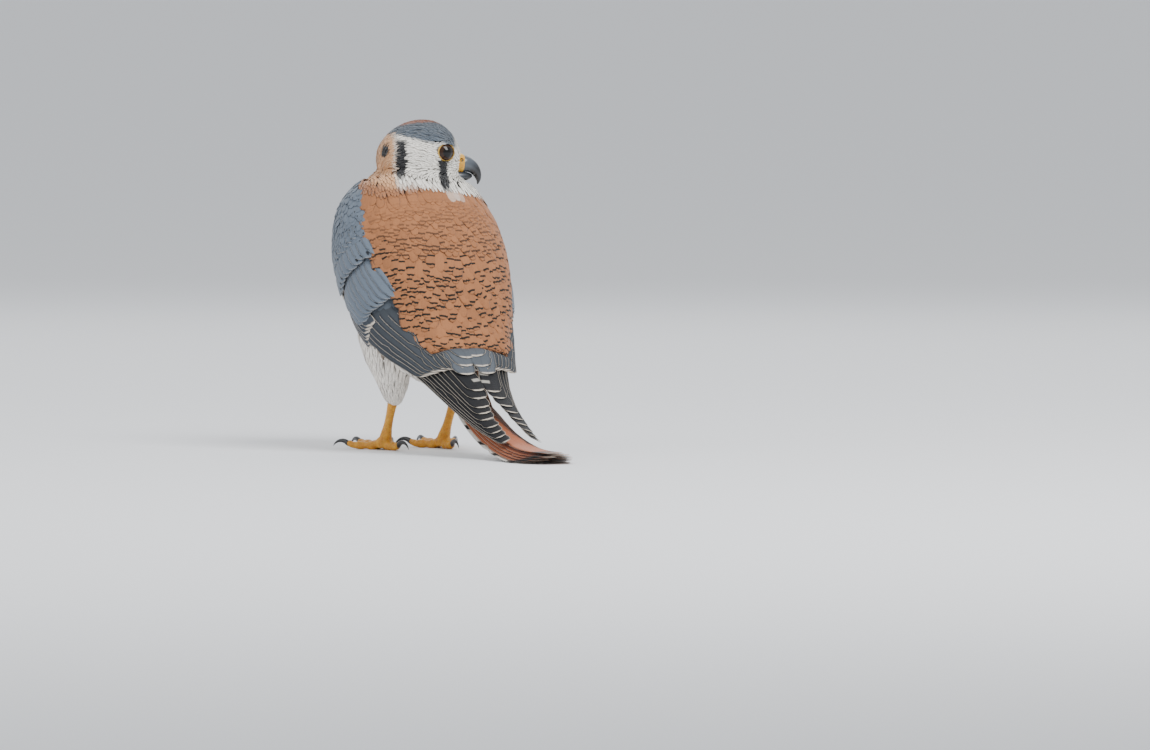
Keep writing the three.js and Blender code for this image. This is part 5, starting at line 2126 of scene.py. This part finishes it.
@dataclass
class Leg:
    """Scaled shank, foot with padded toes, and claws."""

    side: Side
    shank_top: tuple[float, float, float] = (14.6, 0.1, 21.5)
    shank_foot: tuple[float, float, float] = (14.0, -7.6, 7.2)
    half_width: float = 1.75
    half_depth: float = 2.15
    # Place from the foot upwards and the width there, as a share of the half width
    shank_shape: tuple[tuple[float, float], ...] = (
        (-0.02, 1.3),
        (0.2, 1.04),
        (0.5, 0.96),
        (0.8, 1.06),
        (1.0, 1.28),
        (1.3, 1.7),
    )
    shank_sink: float = 0.12
    foot_centre: tuple[float, float, float] = (14.0, -9.4, 0.0)
    palm_radius: float = 3.7
    toe_height: float = 1.7
    toe_tip_rise: float = 0.85
    toe_steps: int = 60
    claw_steps: int = 40
    end_rise: float = 35.0
    end_fall: float = -65.0
    scute_length: float = 1.15
    scute_rise: float = 0.16
    grain_length: float = 0.85
    grain_rise: float = 0.12
    foot_voxel: float = 0.36
    foot_sink: float = 0.08
    # Degrees outwards from straight ahead, length, radius and claw length of each toe
    toes: dict[str, tuple[float, float, float, float]] = field(
        default_factory=lambda: {
            "inner": (-34, 16.5, 1.85, 9.0),
            "middle": (3, 23.0, 1.95, 9.0),
            "outer": (40, 17.5, 1.75, 7.8),
            "hind": (186, 11.5, 1.9, 9.6),
        }
    )

    def placed(self, points: Array) -> Array:
        """Points moved to this leg's side and to the frame."""
        return points * np.array([self.side.value, 1.0, 1.0]) + np.array([0.0, SHIFT_Y, 0.0])

    def toe_way(self, name: str) -> Array:
        """The way that a toe points."""
        angle = math.radians(self.toes[name][0])
        return np.array([math.sin(angle), -math.cos(angle), 0.0])

    def build(self) -> None:
        """Builds the shank, foot and claws."""
        self.shank()
        self.foot()
        for name in self.toes:
            self.claw(name)

    def shank(self) -> None:
        """Builds the shank with staggered rows of raised plates all round it."""
        top, foot = np.array(self.shank_top), np.array(self.shank_foot)
        axis = unit(top - foot)
        deep = unit(np.cross([1.0, 0, 0], axis))
        wide = unit(np.cross(axis, deep))
        t = np.linspace(-0.02, 1.3, 150)[:, None]
        around = full_turn(72)[None, :]
        scale = profile_at(np.array(self.shank_shape), 1, t)
        length = np.linalg.norm(top - foot)
        raised = scutes(t * length, around * 2.2, self.scute_length, 1.25) * self.scute_rise
        rx = self.half_width * scale - self.shank_sink + raised
        ry = self.half_depth * scale - self.shank_sink + raised
        centre = foot + axis * (t * length)
        grid = (
            centre[:, None, :]
            + (rx * np.cos(around))[..., None] * wide
            + (ry * np.sin(around))[..., None] * deep
        )
        piece = closed_tube(f"shank_{self.side.word}", self.placed(grid))
        settle(piece, "leg_skin", "leg_skin", f"tarsus_{self.side.word}")

    def toe_line(self, name: str) -> tuple[Array, Array]:
        """Finds the middle line of a toe.

        Args:
            name: Which toe.

        Returns:
            Points along it in millimetres, and its radius at each.
        """
        _, length, radius, _ = self.toes[name]
        t = np.linspace(0, 1, self.toe_steps)
        drop = 1.9 * (1 - smooth(t * 3)) + self.toe_tip_rise * smooth((t - 0.8) / 0.2)
        points = np.array(self.foot_centre) + self.toe_way(name) * (length * t)[:, None]
        points[:, 2] = self.toe_height + drop
        pad = 1 + 0.13 * np.cos(2 * math.pi * 3 * t)
        radii = radius * mix(1.12, 0.86, t) * pad
        radii = mix(radii, radius * 0.66, smooth((t - 0.86) / 0.14))
        return points, radii

    def foot(self) -> None:
        """Builds palm and toes as one skin with plates above and pads below."""
        parts = []
        axis = unit(np.array(self.shank_top) - np.array(self.shank_foot))
        for name in self.toes:
            points, radii = self.toe_line(name)
            parts.append(closed_tube(f"toe_{name}", tube_grid(points, radii, 28)))
        foot, middle = np.array(self.shank_foot), np.array(self.foot_centre)
        base = middle + [0, 0, self.palm_radius - 0.2]
        rises = (-3.0, -0.2, 1.2)
        line = np.array([base - [0, 0, 2.6], base] + [foot + axis * rise for rise in rises])
        widths = np.array([3.2, self.palm_radius, 2.9, 2.35, 2.2])
        keys = np.column_stack([np.arange(5), line, widths])
        t = np.linspace(0, 4, 30)
        spots = np.stack([profile_at(keys, c, t) for c in (1, 2, 3)], 1)
        parts.append(closed_tube("palm", tube_grid(spots, profile_at(keys, 4, t), 32)))
        piece = merged(f"foot_skin_{self.side.word}", {}, parts, self.foot_voxel, 5)
        points, normals = mesh_arrays(piece)
        points = self.scaled(points, normals)
        points[:, 2] = np.maximum(points[:, 2], 0.0)
        set_points(piece, self.placed(points))
        if self.side is Side.RIGHT:
            piece.data.flip_normals()
        settle(piece, "leg_skin", "leg_skin", f"foot_{self.side.word}")

    def scaled(self, points: Array, normals: Array) -> Array:
        """Raises plates on top of the toes and grains under them.

        Args:
            points: The foot's vertices in millimetres.
            normals: Its vertex normals.

        Returns:
            The vertices after that.
        """
        best = np.full(len(points), 1e9)
        along, around = np.zeros(len(points)), np.zeros(len(points))
        for name, (_, length, _, _) in self.toes.items():
            line, _ = self.toe_line(name)
            gap = np.linalg.norm(points[:, None] - line[None], axis=2)
            near = gap.min(axis=1)
            closer = near < best
            k = gap.argmin(axis=1)
            across = np.cross([0.0, 0.0, 1.0], self.toe_way(name))
            off = points - line[k]
            turn = np.arctan2(off @ across, off[:, 2])
            along[closer] = (k / (self.toe_steps - 1) * length)[closer]
            around[closer] = turn[closer]
            best = np.minimum(best, near)
        top = smooth((1.5 - np.abs(around)) / 0.3)
        # At no width, only every second row of plates is raised
        plates = scutes(along, np.zeros(len(points)), self.scute_length, 1.0) * top
        grains = scutes(along, around * 1.9, self.grain_length, self.grain_length) * (1 - top)
        raised = plates * self.scute_rise + grains * self.grain_rise
        # The soles that bear on the floor stay smooth
        raised *= smooth((points[:, 2] - 0.15) / 0.3)
        return points + normals * (raised - self.foot_sink)[:, None]

    def claw(self, name: str) -> None:
        """Builds one curved claw with its root sunk in the toe.

        Args:
            name: Which toe it ends.
        """
        _, length, radius, reach = self.toes[name]
        way = self.toe_way(name)
        rise = math.radians(self.end_rise)
        start = np.array(self.foot_centre) + way * length
        start[2] = self.toe_height + self.toe_tip_rise
        tangent = way * math.cos(rise) + np.array([0, 0, math.sin(rise)])
        t = np.linspace(0, 1, self.claw_steps)
        bend = np.radians(mix(self.end_rise, self.end_fall, t))
        steps = way * np.cos(bend)[:, None] + np.array([0, 0, 1.0]) * np.sin(bend)[:, None]
        way_out = np.concatenate([[[0, 0, 0]], np.cumsum(steps[:-1], 0)])
        line = start + tangent * 0.3 + way_out * (reach / (self.claw_steps - 1))
        line = np.concatenate([[start - tangent * 0.9], line])
        radii = np.concatenate([[radius * 0.6], np.maximum(radius * 0.66 * (1 - t) ** 0.75, 0.07)])
        grid = tube_grid(line, radii, 24, 0.82)
        grid[..., 2] = np.maximum(grid[..., 2], 0.0)
        piece = closed_tube(f"talon_{self.side.word}_{name}", self.placed(grid))
        settle(piece, "claw_horn", "claw_horn", f"claw_{self.side.word}_{name}")


def tube_grid(line: Array, radii: Array, count: int, flatten: float = 1.0) -> Array:
    """Rings round a line.

    Args:
        line: Points in millimetres.
        radii: Radius at each.
        count: Points in each ring.
        flatten: Width as a share of depth.

    Returns:
        Rings x points x 3.
    """
    tangent = unit(np.gradient(line, axis=0))
    guide = np.where(np.abs(tangent[:, 2:]) > 0.9, [0.0, 1.0, 0.0], [0.0, 0.0, 1.0])
    side = unit(np.cross(guide, tangent))
    up = unit(np.cross(tangent, side))
    angle = full_turn(count)
    ring = flatten * np.cos(angle)[None, :, None] * side[:, None]
    ring = ring + np.sin(angle)[None, :, None] * up[:, None]
    return line[:, None] + ring * radii[:, None, None]


def scutes(along: Array, across: Array, length: float, width: float) -> Array:
    """Height of overlapping plates, from 0 in the creases to 1 on the plates.

    Args:
        along: Distance along the limb.
        across: Distance or angle round it.
        length: Length of a plate.
        width: Width of a plate.

    Returns:
        The height at each place.
    """
    row = np.floor(along / length)
    u = along / length - row
    w = across / width + 0.5 * (row % 2)
    v = np.abs(w - np.round(w)) * 2
    return smooth(u / 0.22) * smooth((1 - u) / 0.35) * smooth((1 - v) / 0.3)


def add_node(
    tree: bpy.types.NodeTree, kind: str, inputs: dict | None = None, **settings: object
) -> bpy.types.Node:
    """Adds one node with its settings and links.

    Args:
        tree: The node tree.
        kind: The node's type name, without "ShaderNode" before it.
        inputs: What each socket takes, by its name or place. A socket is linked, a node is
            linked by its first output, and anything else is set as a value.
        **settings: Properties of the node.

    Returns:
        The new node.
    """
    node = tree.nodes.new(f"ShaderNode{kind}")
    for name, value in settings.items():
        setattr(node, name, value)
    for key, value in (inputs or {}).items():
        if isinstance(value, bpy.types.Node):
            value = value.outputs[0]
        if isinstance(value, bpy.types.NodeSocket):
            tree.links.new(value, node.inputs[key])
        else:
            node.inputs[key].default_value = value
    return node


NodeAdder = Callable[..., bpy.types.Node]


def new_material(name: str) -> tuple[bpy.types.Material, NodeAdder]:
    """Makes an empty node material.

    Args:
        name: Its name.

    Returns:
        The material, and what adds a node to it.
    """
    material = bpy.data.materials.new(name)
    material.use_nodes = True
    material.node_tree.nodes.clear()
    return material, partial(add_node, material.node_tree)


@dataclass(frozen=True)
class VaneFinish:
    """Feather keratin: barbs lie slantwise from a shaft and part the light like fine cloth.

    The eye sees a soft sheen across the barbs, a slightly different shaft, and marks whose edges
    run along the barbs. All distances are in millimetres, along the vane from its tip.
    """

    name: str
    # Bars as (distance from the tip, half length)
    bars: tuple[tuple[float, float], ...] = ()
    # One spot as (distance from the tip, half length, half width)
    spot: tuple[float, float, float] | None = None
    inner_web_only: bool = False
    chevron: float = 0.2
    fringe: float = 0.0
    tip_fringe: float = 0.7
    side_fringe: float = 0.3
    fringe_colour: int = 0xE2D6C6
    # Real barbs stand 0.25 to 0.4 mm apart. They are drawn coarser so that they show.
    barb_spacing: float = 0.5
    barb_depth: float = 0.04
    barb_slant: float = 1.1
    # How far the grain moves the edges of marks
    raggedness: float = 0.8
    grain_scale: float = 1.9
    roughness: float = 0.7
    sheen: float = 0.2
    shaft: float = 0.3
    shaft_tone: float = 1.1

    def build(self) -> bpy.types.Material:
        """Builds the material."""
        material, node = new_material(self.name)
        base = node("Attribute", attribute_name="base")
        mark = node("Attribute", attribute_name="mark")
        vane, barb, edge = (
            node("SeparateXYZ", {0: node("UVMap", uv_map=label)})
            for label in (VANE_MAP, BARB_MAP, EDGE_MAP)
        )
        reach = node("Math", {0: barb}, operation="ABSOLUTE")
        # Barbs leave the shaft at a slant towards the tip
        slant = node(
            "Math", {0: reach, 1: -self.barb_slant, 2: barb.outputs[1]}, operation="MULTIPLY_ADD"
        )
        phase = node("Math", {0: slant, 1: 2 * math.pi / self.barb_spacing}, operation="MULTIPLY")
        wave = node("Math", {0: phase}, operation="SINE")
        along_barb = node("CombineXYZ", {0: reach, 1: slant})
        grain = node(
            "TexNoise",
            {"Vector": along_barb, "Scale": self.grain_scale, "Detail": 3.0, "Roughness": 0.6},
        )
        bent = node(
            "Math", {0: reach, 1: -self.chevron, 2: edge.outputs[1]}, operation="MULTIPLY_ADD"
        )
        ragged = node("Math", {0: grain, 1: self.raggedness, 2: bent}, operation="MULTIPLY_ADD")
        from_tip = node("Math", {0: ragged, 1: self.raggedness / 2}, operation="SUBTRACT")
        shade = node(
            "MapRange",
            {"Value": grain, "From Min": 0.3, "From Max": 0.75, "To Min": 0.86, "To Max": 1.1},
        )
        shown = node(
            "Mix", {0: 1.0, 6: base, 7: shade}, data_type="RGBA", blend_type="MULTIPLY"
        ).outputs[2]
        for mask in self.masks(node, from_tip, reach, vane):
            strength = node("Math", {0: mask, 1: mark.outputs["Alpha"]}, operation="MULTIPLY")
            shown = node("Mix", {0: strength, 6: shown, 7: mark}, data_type="RGBA").outputs[2]
        if self.fringe > 0:
            pale = tuple(linear(self.fringe_colour))
            for distance, width in ((from_tip, self.tip_fringe), (edge, self.side_fringe)):
                span = {"From Min": width * 0.5, "From Max": width}
                rim = node(
                    "MapRange", {"Value": distance, **span, "To Min": self.fringe, "To Max": 0.0}
                )
                shown = node("Mix", {0: rim, 6: shown, 7: pale}, data_type="RGBA").outputs[2]
        line = node(
            "MapRange",
            {"Value": reach, "From Min": 0.08, "From Max": 0.2, "To Min": self.shaft, "To Max": 0.0},
        )
        quill = node("HueSaturation", {"Color": shown, "Value": self.shaft_tone, "Fac": line})
        bump = node(
            "Bump", {"Height": wave, "Strength": 0.35, "Distance": self.barb_depth * MM}
        )
        shader = node("BsdfPrincipled", {
            "Base Color": quill,
            "Roughness": self.roughness,
            "IOR": 1.5,
            "Specular IOR Level": 0.22,
            "Sheen Weight": self.sheen,
            "Sheen Roughness": 0.5,
            "Normal": bump,
        })
        node("OutputMaterial", {"Surface": shader})
        return material

    def masks(
        self, node: NodeAdder, from_tip: bpy.types.Node, reach: bpy.types.Node, vane: bpy.types.Node
    ) -> list[bpy.types.Node]:
        """Adds the nodes that say where the bars and the spot lie.

        Args:
            node: Adds a node to the material.
            from_tip: Distance from the tip, along a bent and ragged line.
            reach: Distance from the shaft.
            vane: Share of the way across the vane.

        Returns:
            The masks, each from 0 to 1.
        """
        found = []
        web = 1.0
        if self.inner_web_only:
            web = node("MapRange", {"Value": vane, "From Min": 0.54, "From Max": 0.6})
        for distance, half in self.bars:
            gap = node("Math", {0: from_tip, 1: distance}, operation="SUBTRACT")
            near = node("Math", {0: gap}, operation="ABSOLUTE")
            span = {"From Min": half, "From Max": half * 0.65}
            found.append(node("MapRange", {"Value": near, **span, "To Max": web}))
        if self.spot is not None:
            distance, half, width = self.spot
            gap = node(
                "Math", {0: from_tip, 1: -1 / half, 2: distance / half}, operation="MULTIPLY_ADD"
            )
            wide = node("Math", {0: reach, 1: width}, operation="DIVIDE")
            both = node("CombineXYZ", {0: gap, 1: wide})
            away = node("VectorMath", {0: both}, operation="LENGTH").outputs[1]
            found.append(node("MapRange", {"Value": away, "From Min": 1.0, "From Max": 0.7}))
        return found


VANES = (
    VaneFinish("face_vane", shaft=0.0, sheen=0.3),
    VaneFinish("crown_vane", spot=(0.9, 1.1, 0.16), shaft=0.0, sheen=0.3),
    VaneFinish("mantle_vane", bars=((1.9, 0.55), (6.0, 0.5)), chevron=0.0, sheen=0.1),
    VaneFinish("breast_vane", spot=(1.3, 0.7, 0.55), sheen=0.3, shaft=0.1),
    VaneFinish("thigh_vane", shaft=0.0, sheen=0.3),
    VaneFinish("covert_vane", spot=(1.2, 0.7, 0.45)),
    VaneFinish("coverts_vane", spot=(2.4, 1.2, 0.75), fringe=0.15, shaft=0.6, shaft_tone=0.6),
    VaneFinish(
        "flight_vane",
        bars=((8, 1.3), (14, 1.4), (20, 1.4), (26, 1.4), (32, 1.4), (38, 1.4), (44, 1.4)),
        inner_web_only=True,
        fringe=0.75,
        tip_fringe=1.4,
        side_fringe=0.35,
        shaft=0.7,
        shaft_tone=0.7,
        roughness=0.6,
        sheen=0.0,
    ),
    VaneFinish(
        "tail_inner_vane",
        bars=((8.0, 5.2),),
        fringe=0.9,
        tip_fringe=2.6,
        side_fringe=0.2,
        shaft=0.8,
        shaft_tone=0.6,
        chevron=0.1,
        roughness=0.55,
    ),
    VaneFinish(
        "tail_outer_vane",
        bars=((9, 4.4), (27, 2.6), (43, 2.5), (59, 2.4), (75, 2.2)),
        fringe=0.8,
        tip_fringe=2.4,
        side_fringe=0.2,
        shaft=0.8,
        shaft_tone=0.7,
        roughness=0.55,
    ),
)


@dataclass(frozen=True)
class SkinFinish:
    """Skin with down on it, seen only where feathers part. The eye sees it as soft and dull."""

    name: str
    tone: int | None = None
    roughness: float = 0.85

    def build(self) -> bpy.types.Material:
        """Builds the material."""
        material, node = new_material(self.name)
        spot = node("TexCoord").outputs["Object"]
        fluff = node("TexNoise", {"Vector": spot, "Scale": 900.0, "Detail": 4.0, "Roughness": 0.7})
        shade = node("MapRange", {"Value": fluff, "To Min": 0.62, "To Max": 1.0})
        ground = node("Attribute", attribute_name="base")
        if self.tone is not None:
            ground = node("RGB")
            ground.outputs[0].default_value = tuple(linear(self.tone))
        tinted = node(
            "Mix", {0: 1.0, 6: ground, 7: shade}, data_type="RGBA", blend_type="MULTIPLY"
        ).outputs[2]
        bump = node("Bump", {"Height": fluff, "Strength": 0.6, "Distance": 0.25 * MM})
        shader = node("BsdfPrincipled", {
            "Base Color": tinted,
            "Roughness": self.roughness,
            "IOR": 1.45,
            "Specular IOR Level": 0.2,
            "Normal": bump,
        })
        node("OutputMaterial", {"Surface": shader})
        return material


@dataclass(frozen=True)
class HideFinish:
    """Bare scaly or waxy skin, thin enough for light to warm it from within."""

    name: str
    light: int
    dark: int
    grain: float = 0.5
    depth: float = 0.06
    roughness: float = 0.45
    glow: float = 0.15

    def build(self) -> bpy.types.Material:
        """Builds the material."""
        material, node = new_material(self.name)
        spot = node("TexCoord").outputs["Object"]
        cloud = node("TexNoise", {"Vector": spot, "Scale": 420.0, "Detail": 4.0})
        cells = node(
            "TexVoronoi", {"Vector": spot, "Scale": 1 / (self.grain * MM)}, feature="DISTANCE_TO_EDGE"
        )
        # Crease mask: 0.72 on the lines between scale cells and 1 inside them; it drives the bump and
        # the painted shade
        crease = node("MapRange", {"Value": cells, "From Max": 0.12, "To Min": 0.72})
        blend = node("MapRange", {"Value": cloud, "From Min": 0.35, "From Max": 0.7})
        tone = node(
            "Mix",
            {0: blend, 6: tuple(linear(self.light)), 7: tuple(linear(self.dark))},
            data_type="RGBA",
        ).outputs[2]
        # Painted shade: the tone is darkened along the creases between scales and wrinkles
        crease_shaded = node(
            "Mix", {0: 1.0, 6: tone, 7: crease}, data_type="RGBA", blend_type="MULTIPLY"
        ).outputs[2]
        bump = node("Bump", {"Height": crease, "Strength": 0.5, "Distance": self.depth * MM})
        shader = node("BsdfPrincipled", {
            "Base Color": crease_shaded,
            "Roughness": self.roughness,
            "IOR": 1.4,
            "Subsurface Weight": self.glow,
            "Subsurface Scale": 0.6 * MM,
            "Normal": bump,
        })
        node("OutputMaterial", {"Surface": shader})
        return material


@dataclass(frozen=True)
class HornFinish:
    """Bill and claw keratin: hard, polished by use, with fine growth lines."""

    name: str
    root: int
    tip: int
    start: tuple[float, float, float] = (0.0, 0.0, 0.0)
    end: tuple[float, float, float] = (1.0, 0.0, 0.0)
    roughness: float = 0.28

    def build(self) -> bpy.types.Material:
        """Builds the material."""
        material, node = new_material(self.name)
        spot = node("TexCoord").outputs["Object"]
        start, end = np.array(self.start) * MM, np.array(self.end) * MM
        way = (end - start) / ((end - start) @ (end - start))
        gap = node("VectorMath", {0: spot, 1: tuple(start)}, operation="SUBTRACT")
        along = node("VectorMath", {0: gap, 1: tuple(way)}, operation="DOT_PRODUCT").outputs[1]
        growth = node(
            "TexNoise", {"Vector": spot, "Scale": 700.0, "Detail": 5.0, "Roughness": 0.65}
        )
        place = node("Math", {0: growth, 1: 0.25, 2: along}, operation="MULTIPLY_ADD")
        share = node(
            "MapRange",
            {"Value": place, "From Min": 0.1, "From Max": 0.75},
            interpolation_type="SMOOTHSTEP",
        )
        tone = node(
            "Mix",
            {0: share, 6: tuple(linear(self.root)), 7: tuple(linear(self.tip))},
            data_type="RGBA",
        ).outputs[2]
        bump = node("Bump", {"Height": growth, "Strength": 0.25, "Distance": 0.05 * MM})
        shader = node("BsdfPrincipled", {
            "Base Color": tone,
            "Roughness": self.roughness,
            "IOR": 1.54,
            "Coat Weight": 0.25,
            "Coat Roughness": 0.2,
            "Normal": bump,
        })
        node("OutputMaterial", {"Surface": shader})
        return material


@dataclass(frozen=True)
class EyeFinish:
    """A falcon's eye: deep brown iris round a black pupil, under a wet clear cornea."""

    name: str = "eye"
    pupil: float = 2.3
    iris: float = 4.1
    black: int = 0x050404
    browns: tuple[int, int] = (0x1E0F07, 0x38200F)
    # Width of the eye's map in millimetres
    map_width: float = 14.0

    def build(self) -> bpy.types.Material:
        """Builds the material."""
        material, node = new_material(self.name)
        place = node("UVMap", uv_map="iris")
        gap = node("VectorMath", {0: place, 1: (0.5, 0.5, 0.0)}, operation="SUBTRACT")
        radius = node("VectorMath", {0: gap}, operation="LENGTH").outputs[1]
        away = node("Math", {0: radius, 1: self.map_width}, operation="MULTIPLY")
        span = {"From Min": self.pupil - 0.15, "From Max": self.pupil + 0.15}
        ramp = node("MapRange", {"Value": away, **span})
        streak = node("TexNoise", {"Vector": gap, "Scale": 60.0, "Detail": 4.0})
        dark, light = (tuple(linear(code)) for code in self.browns)
        iris = node("Mix", {0: streak, 6: dark, 7: light}, data_type="RGBA").outputs[2]
        span = {"From Min": self.iris - 0.6, "From Max": self.iris}
        rim = node("MapRange", {"Value": away, **span, "To Min": 1.0, "To Max": 0.25})
        ringed = node(
            "Mix", {0: 1.0, 6: iris, 7: rim}, data_type="RGBA", blend_type="MULTIPLY"
        ).outputs[2]
        black = tuple(linear(self.black))
        tone = node("Mix", {0: ramp, 6: black, 7: ringed}, data_type="RGBA").outputs[2]
        shader = node("BsdfPrincipled", {
            "Base Color": tone,
            "Roughness": 0.07,
            "IOR": 1.37,
            "Coat Weight": 0.1,
            "Coat Roughness": 0.02,
        })
        node("OutputMaterial", {"Surface": shader})
        return material


def wardrobe() -> dict[str, bpy.types.Material]:
    """Every material by name."""
    bill_root = tuple(HEAD.point(18.5, 0.0, -1.0))
    bill_tip = tuple(HEAD.point(25.5, 0.0, -8.0))
    finishes = (
        *VANES,
        SkinFinish("skin"),
        SkinFinish("wing_skin", 0x565E67),
        SkinFinish("soft_skin", 0xE6DACA),
        HideFinish("cere_skin", 0xE0AE45, 0xC98F2C, grain=0.45),
        HideFinish("eye_ring_skin", 0xCBA552, 0xA98338, grain=0.35),
        HideFinish("leg_skin", 0xDDA033, 0xC3812A, grain=0.6),
        HornFinish("bill_horn", 0x4C535B, 0x121418, bill_root, bill_tip),
        HornFinish("claw_horn", 0x17161A, 0x0C0C0E, roughness=0.3),
        EyeFinish(),
    )
    return {finish.name: finish.build() for finish in finishes}


@dataclass(frozen=True)
class Lamp:
    """Soft square lamp that looks at the bird. Angles in degrees, size in metres."""

    name: str
    azimuth: float
    elevation: float
    size: float
    power: float
    distance: float = 1.4
    aim_height: float = 0.08

    def build(self) -> None:
        """Places the lamp."""
        way = Vector(bearing(self.azimuth, self.elevation))
        light = bpy.data.lights.new(self.name, "AREA")
        light.energy = self.power
        light.size = self.size
        lamp = new_object(self.name, light)
        lamp.location = way * self.distance + Vector((0, 0, self.aim_height))
        turn_to(lamp, -way)


@dataclass(frozen=True)
class Studio:
    """Pale floor, soft lamps and a camera at the photograph's angle."""

    azimuth: float = 154.0
    elevation: float = 2.7
    distance: float = 6000.0
    # Millimetres of the bird to a pixel of the photograph, and where the bird stands in it
    scale: float = 0.43
    bird_x: float = 423.5
    bird_y: float = 450.0
    sensor: float = 36.0
    floor_size: float = 40.0
    paper: int = 0xE9EBEE
    sky: int = 0xEEF0F3
    sky_strength: float = 0.95
    # The key lamp is the brightest, high on the right of the photograph's view
    lamps: tuple[Lamp, ...] = (
        Lamp("key", 195.0, 48.0, 0.7, 20.0),
        Lamp("fill", 95.0, 25.0, 1.2, 5.0),
        Lamp("front", 330.0, 40.0, 1.2, 6.0),
    )

    def build(self) -> None:
        """Builds the floor, lamps, sky and camera."""
        self.floor()
        for lamp in self.lamps:
            lamp.build()
        self.glow()
        self.camera()

    def floor(self) -> None:
        """Makes the plain pale floor."""
        bpy.ops.mesh.primitive_plane_add(size=self.floor_size)
        floor = bpy.context.view_layer.objects.active
        floor.name = "floor"
        material, node = new_material("studio_paper")
        paper = {"Base Color": tuple(linear(self.paper)), "Roughness": 0.9}
        node("OutputMaterial", {"Surface": node("BsdfPrincipled", paper)})
        floor.data.materials.append(material)
        floor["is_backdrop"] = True

    def glow(self) -> None:
        """Makes the even sky that fills the shadows."""
        world = bpy.data.worlds.new("studio")
        bpy.context.scene.world = world
        world.use_nodes = True
        tree = world.node_tree
        tree.nodes.clear()
        sky = {"Color": tuple(linear(self.sky)), "Strength": self.sky_strength}
        add_node(tree, "OutputWorld", {"Surface": add_node(tree, "Background", sky)})

    def camera(self) -> None:
        """Places the camera so that the bird stands where it does in the photograph."""
        back = bearing(self.azimuth, self.elevation)
        right = unit(np.cross([0.0, 0.0, 1.0], back))
        up = np.cross(back, right)
        aim = np.array([0.0, SHIFT_Y, 0.0])
        aim = aim + right * (PHOTO_WIDTH / 2 - self.bird_x) * self.scale
        aim = aim + up * (self.bird_y - PHOTO_HEIGHT / 2) * self.scale
        data = bpy.data.cameras.new("camera")
        data.sensor_width = self.sensor
        data.lens = self.sensor * self.distance / (PHOTO_WIDTH * self.scale)
        data.clip_start = 0.1
        data.clip_end = 50.0
        camera = new_object("camera", data)
        camera.location = (aim + back * self.distance) * MM
        turn_to(camera, Vector(-back))
        bpy.context.scene.camera = camera


def bearing(azimuth: float, elevation: float) -> Array:
    """Direction at an azimuth and an elevation in degrees, from the breast's side of the frame."""
    a, e = math.radians(azimuth), math.radians(elevation)
    return np.array([math.sin(a) * math.cos(e), -math.cos(a) * math.cos(e), math.sin(e)])


def turn_to(item: bpy.types.Object, way: Vector) -> None:
    """Turns a camera or lamp to look along a direction."""
    item.rotation_mode = "QUATERNION"
    item.rotation_quaternion = way.to_track_quat("-Z", "Y")


def write_sizes() -> None:
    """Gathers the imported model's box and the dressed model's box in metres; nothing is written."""
    boxes = {"cad": CAD_BOX, "visual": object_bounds()}
    plain = {name: [list(corner) for corner in box] for name, box in boxes.items()}


def main() -> None:
    """Builds the whole bird and the studio."""
    logging.basicConfig(level=logging.INFO, format="%(message)s")
    LOOKS.update(wardrobe())
    Coat().build()
    for side in Side:
        Wing(side).build()
        Leg(side).build()
    Tail().build()
    Bill().build()
    Eyes().build()
    Studio().build()
    write_sizes()


if __name__ == "__main__":
    main()
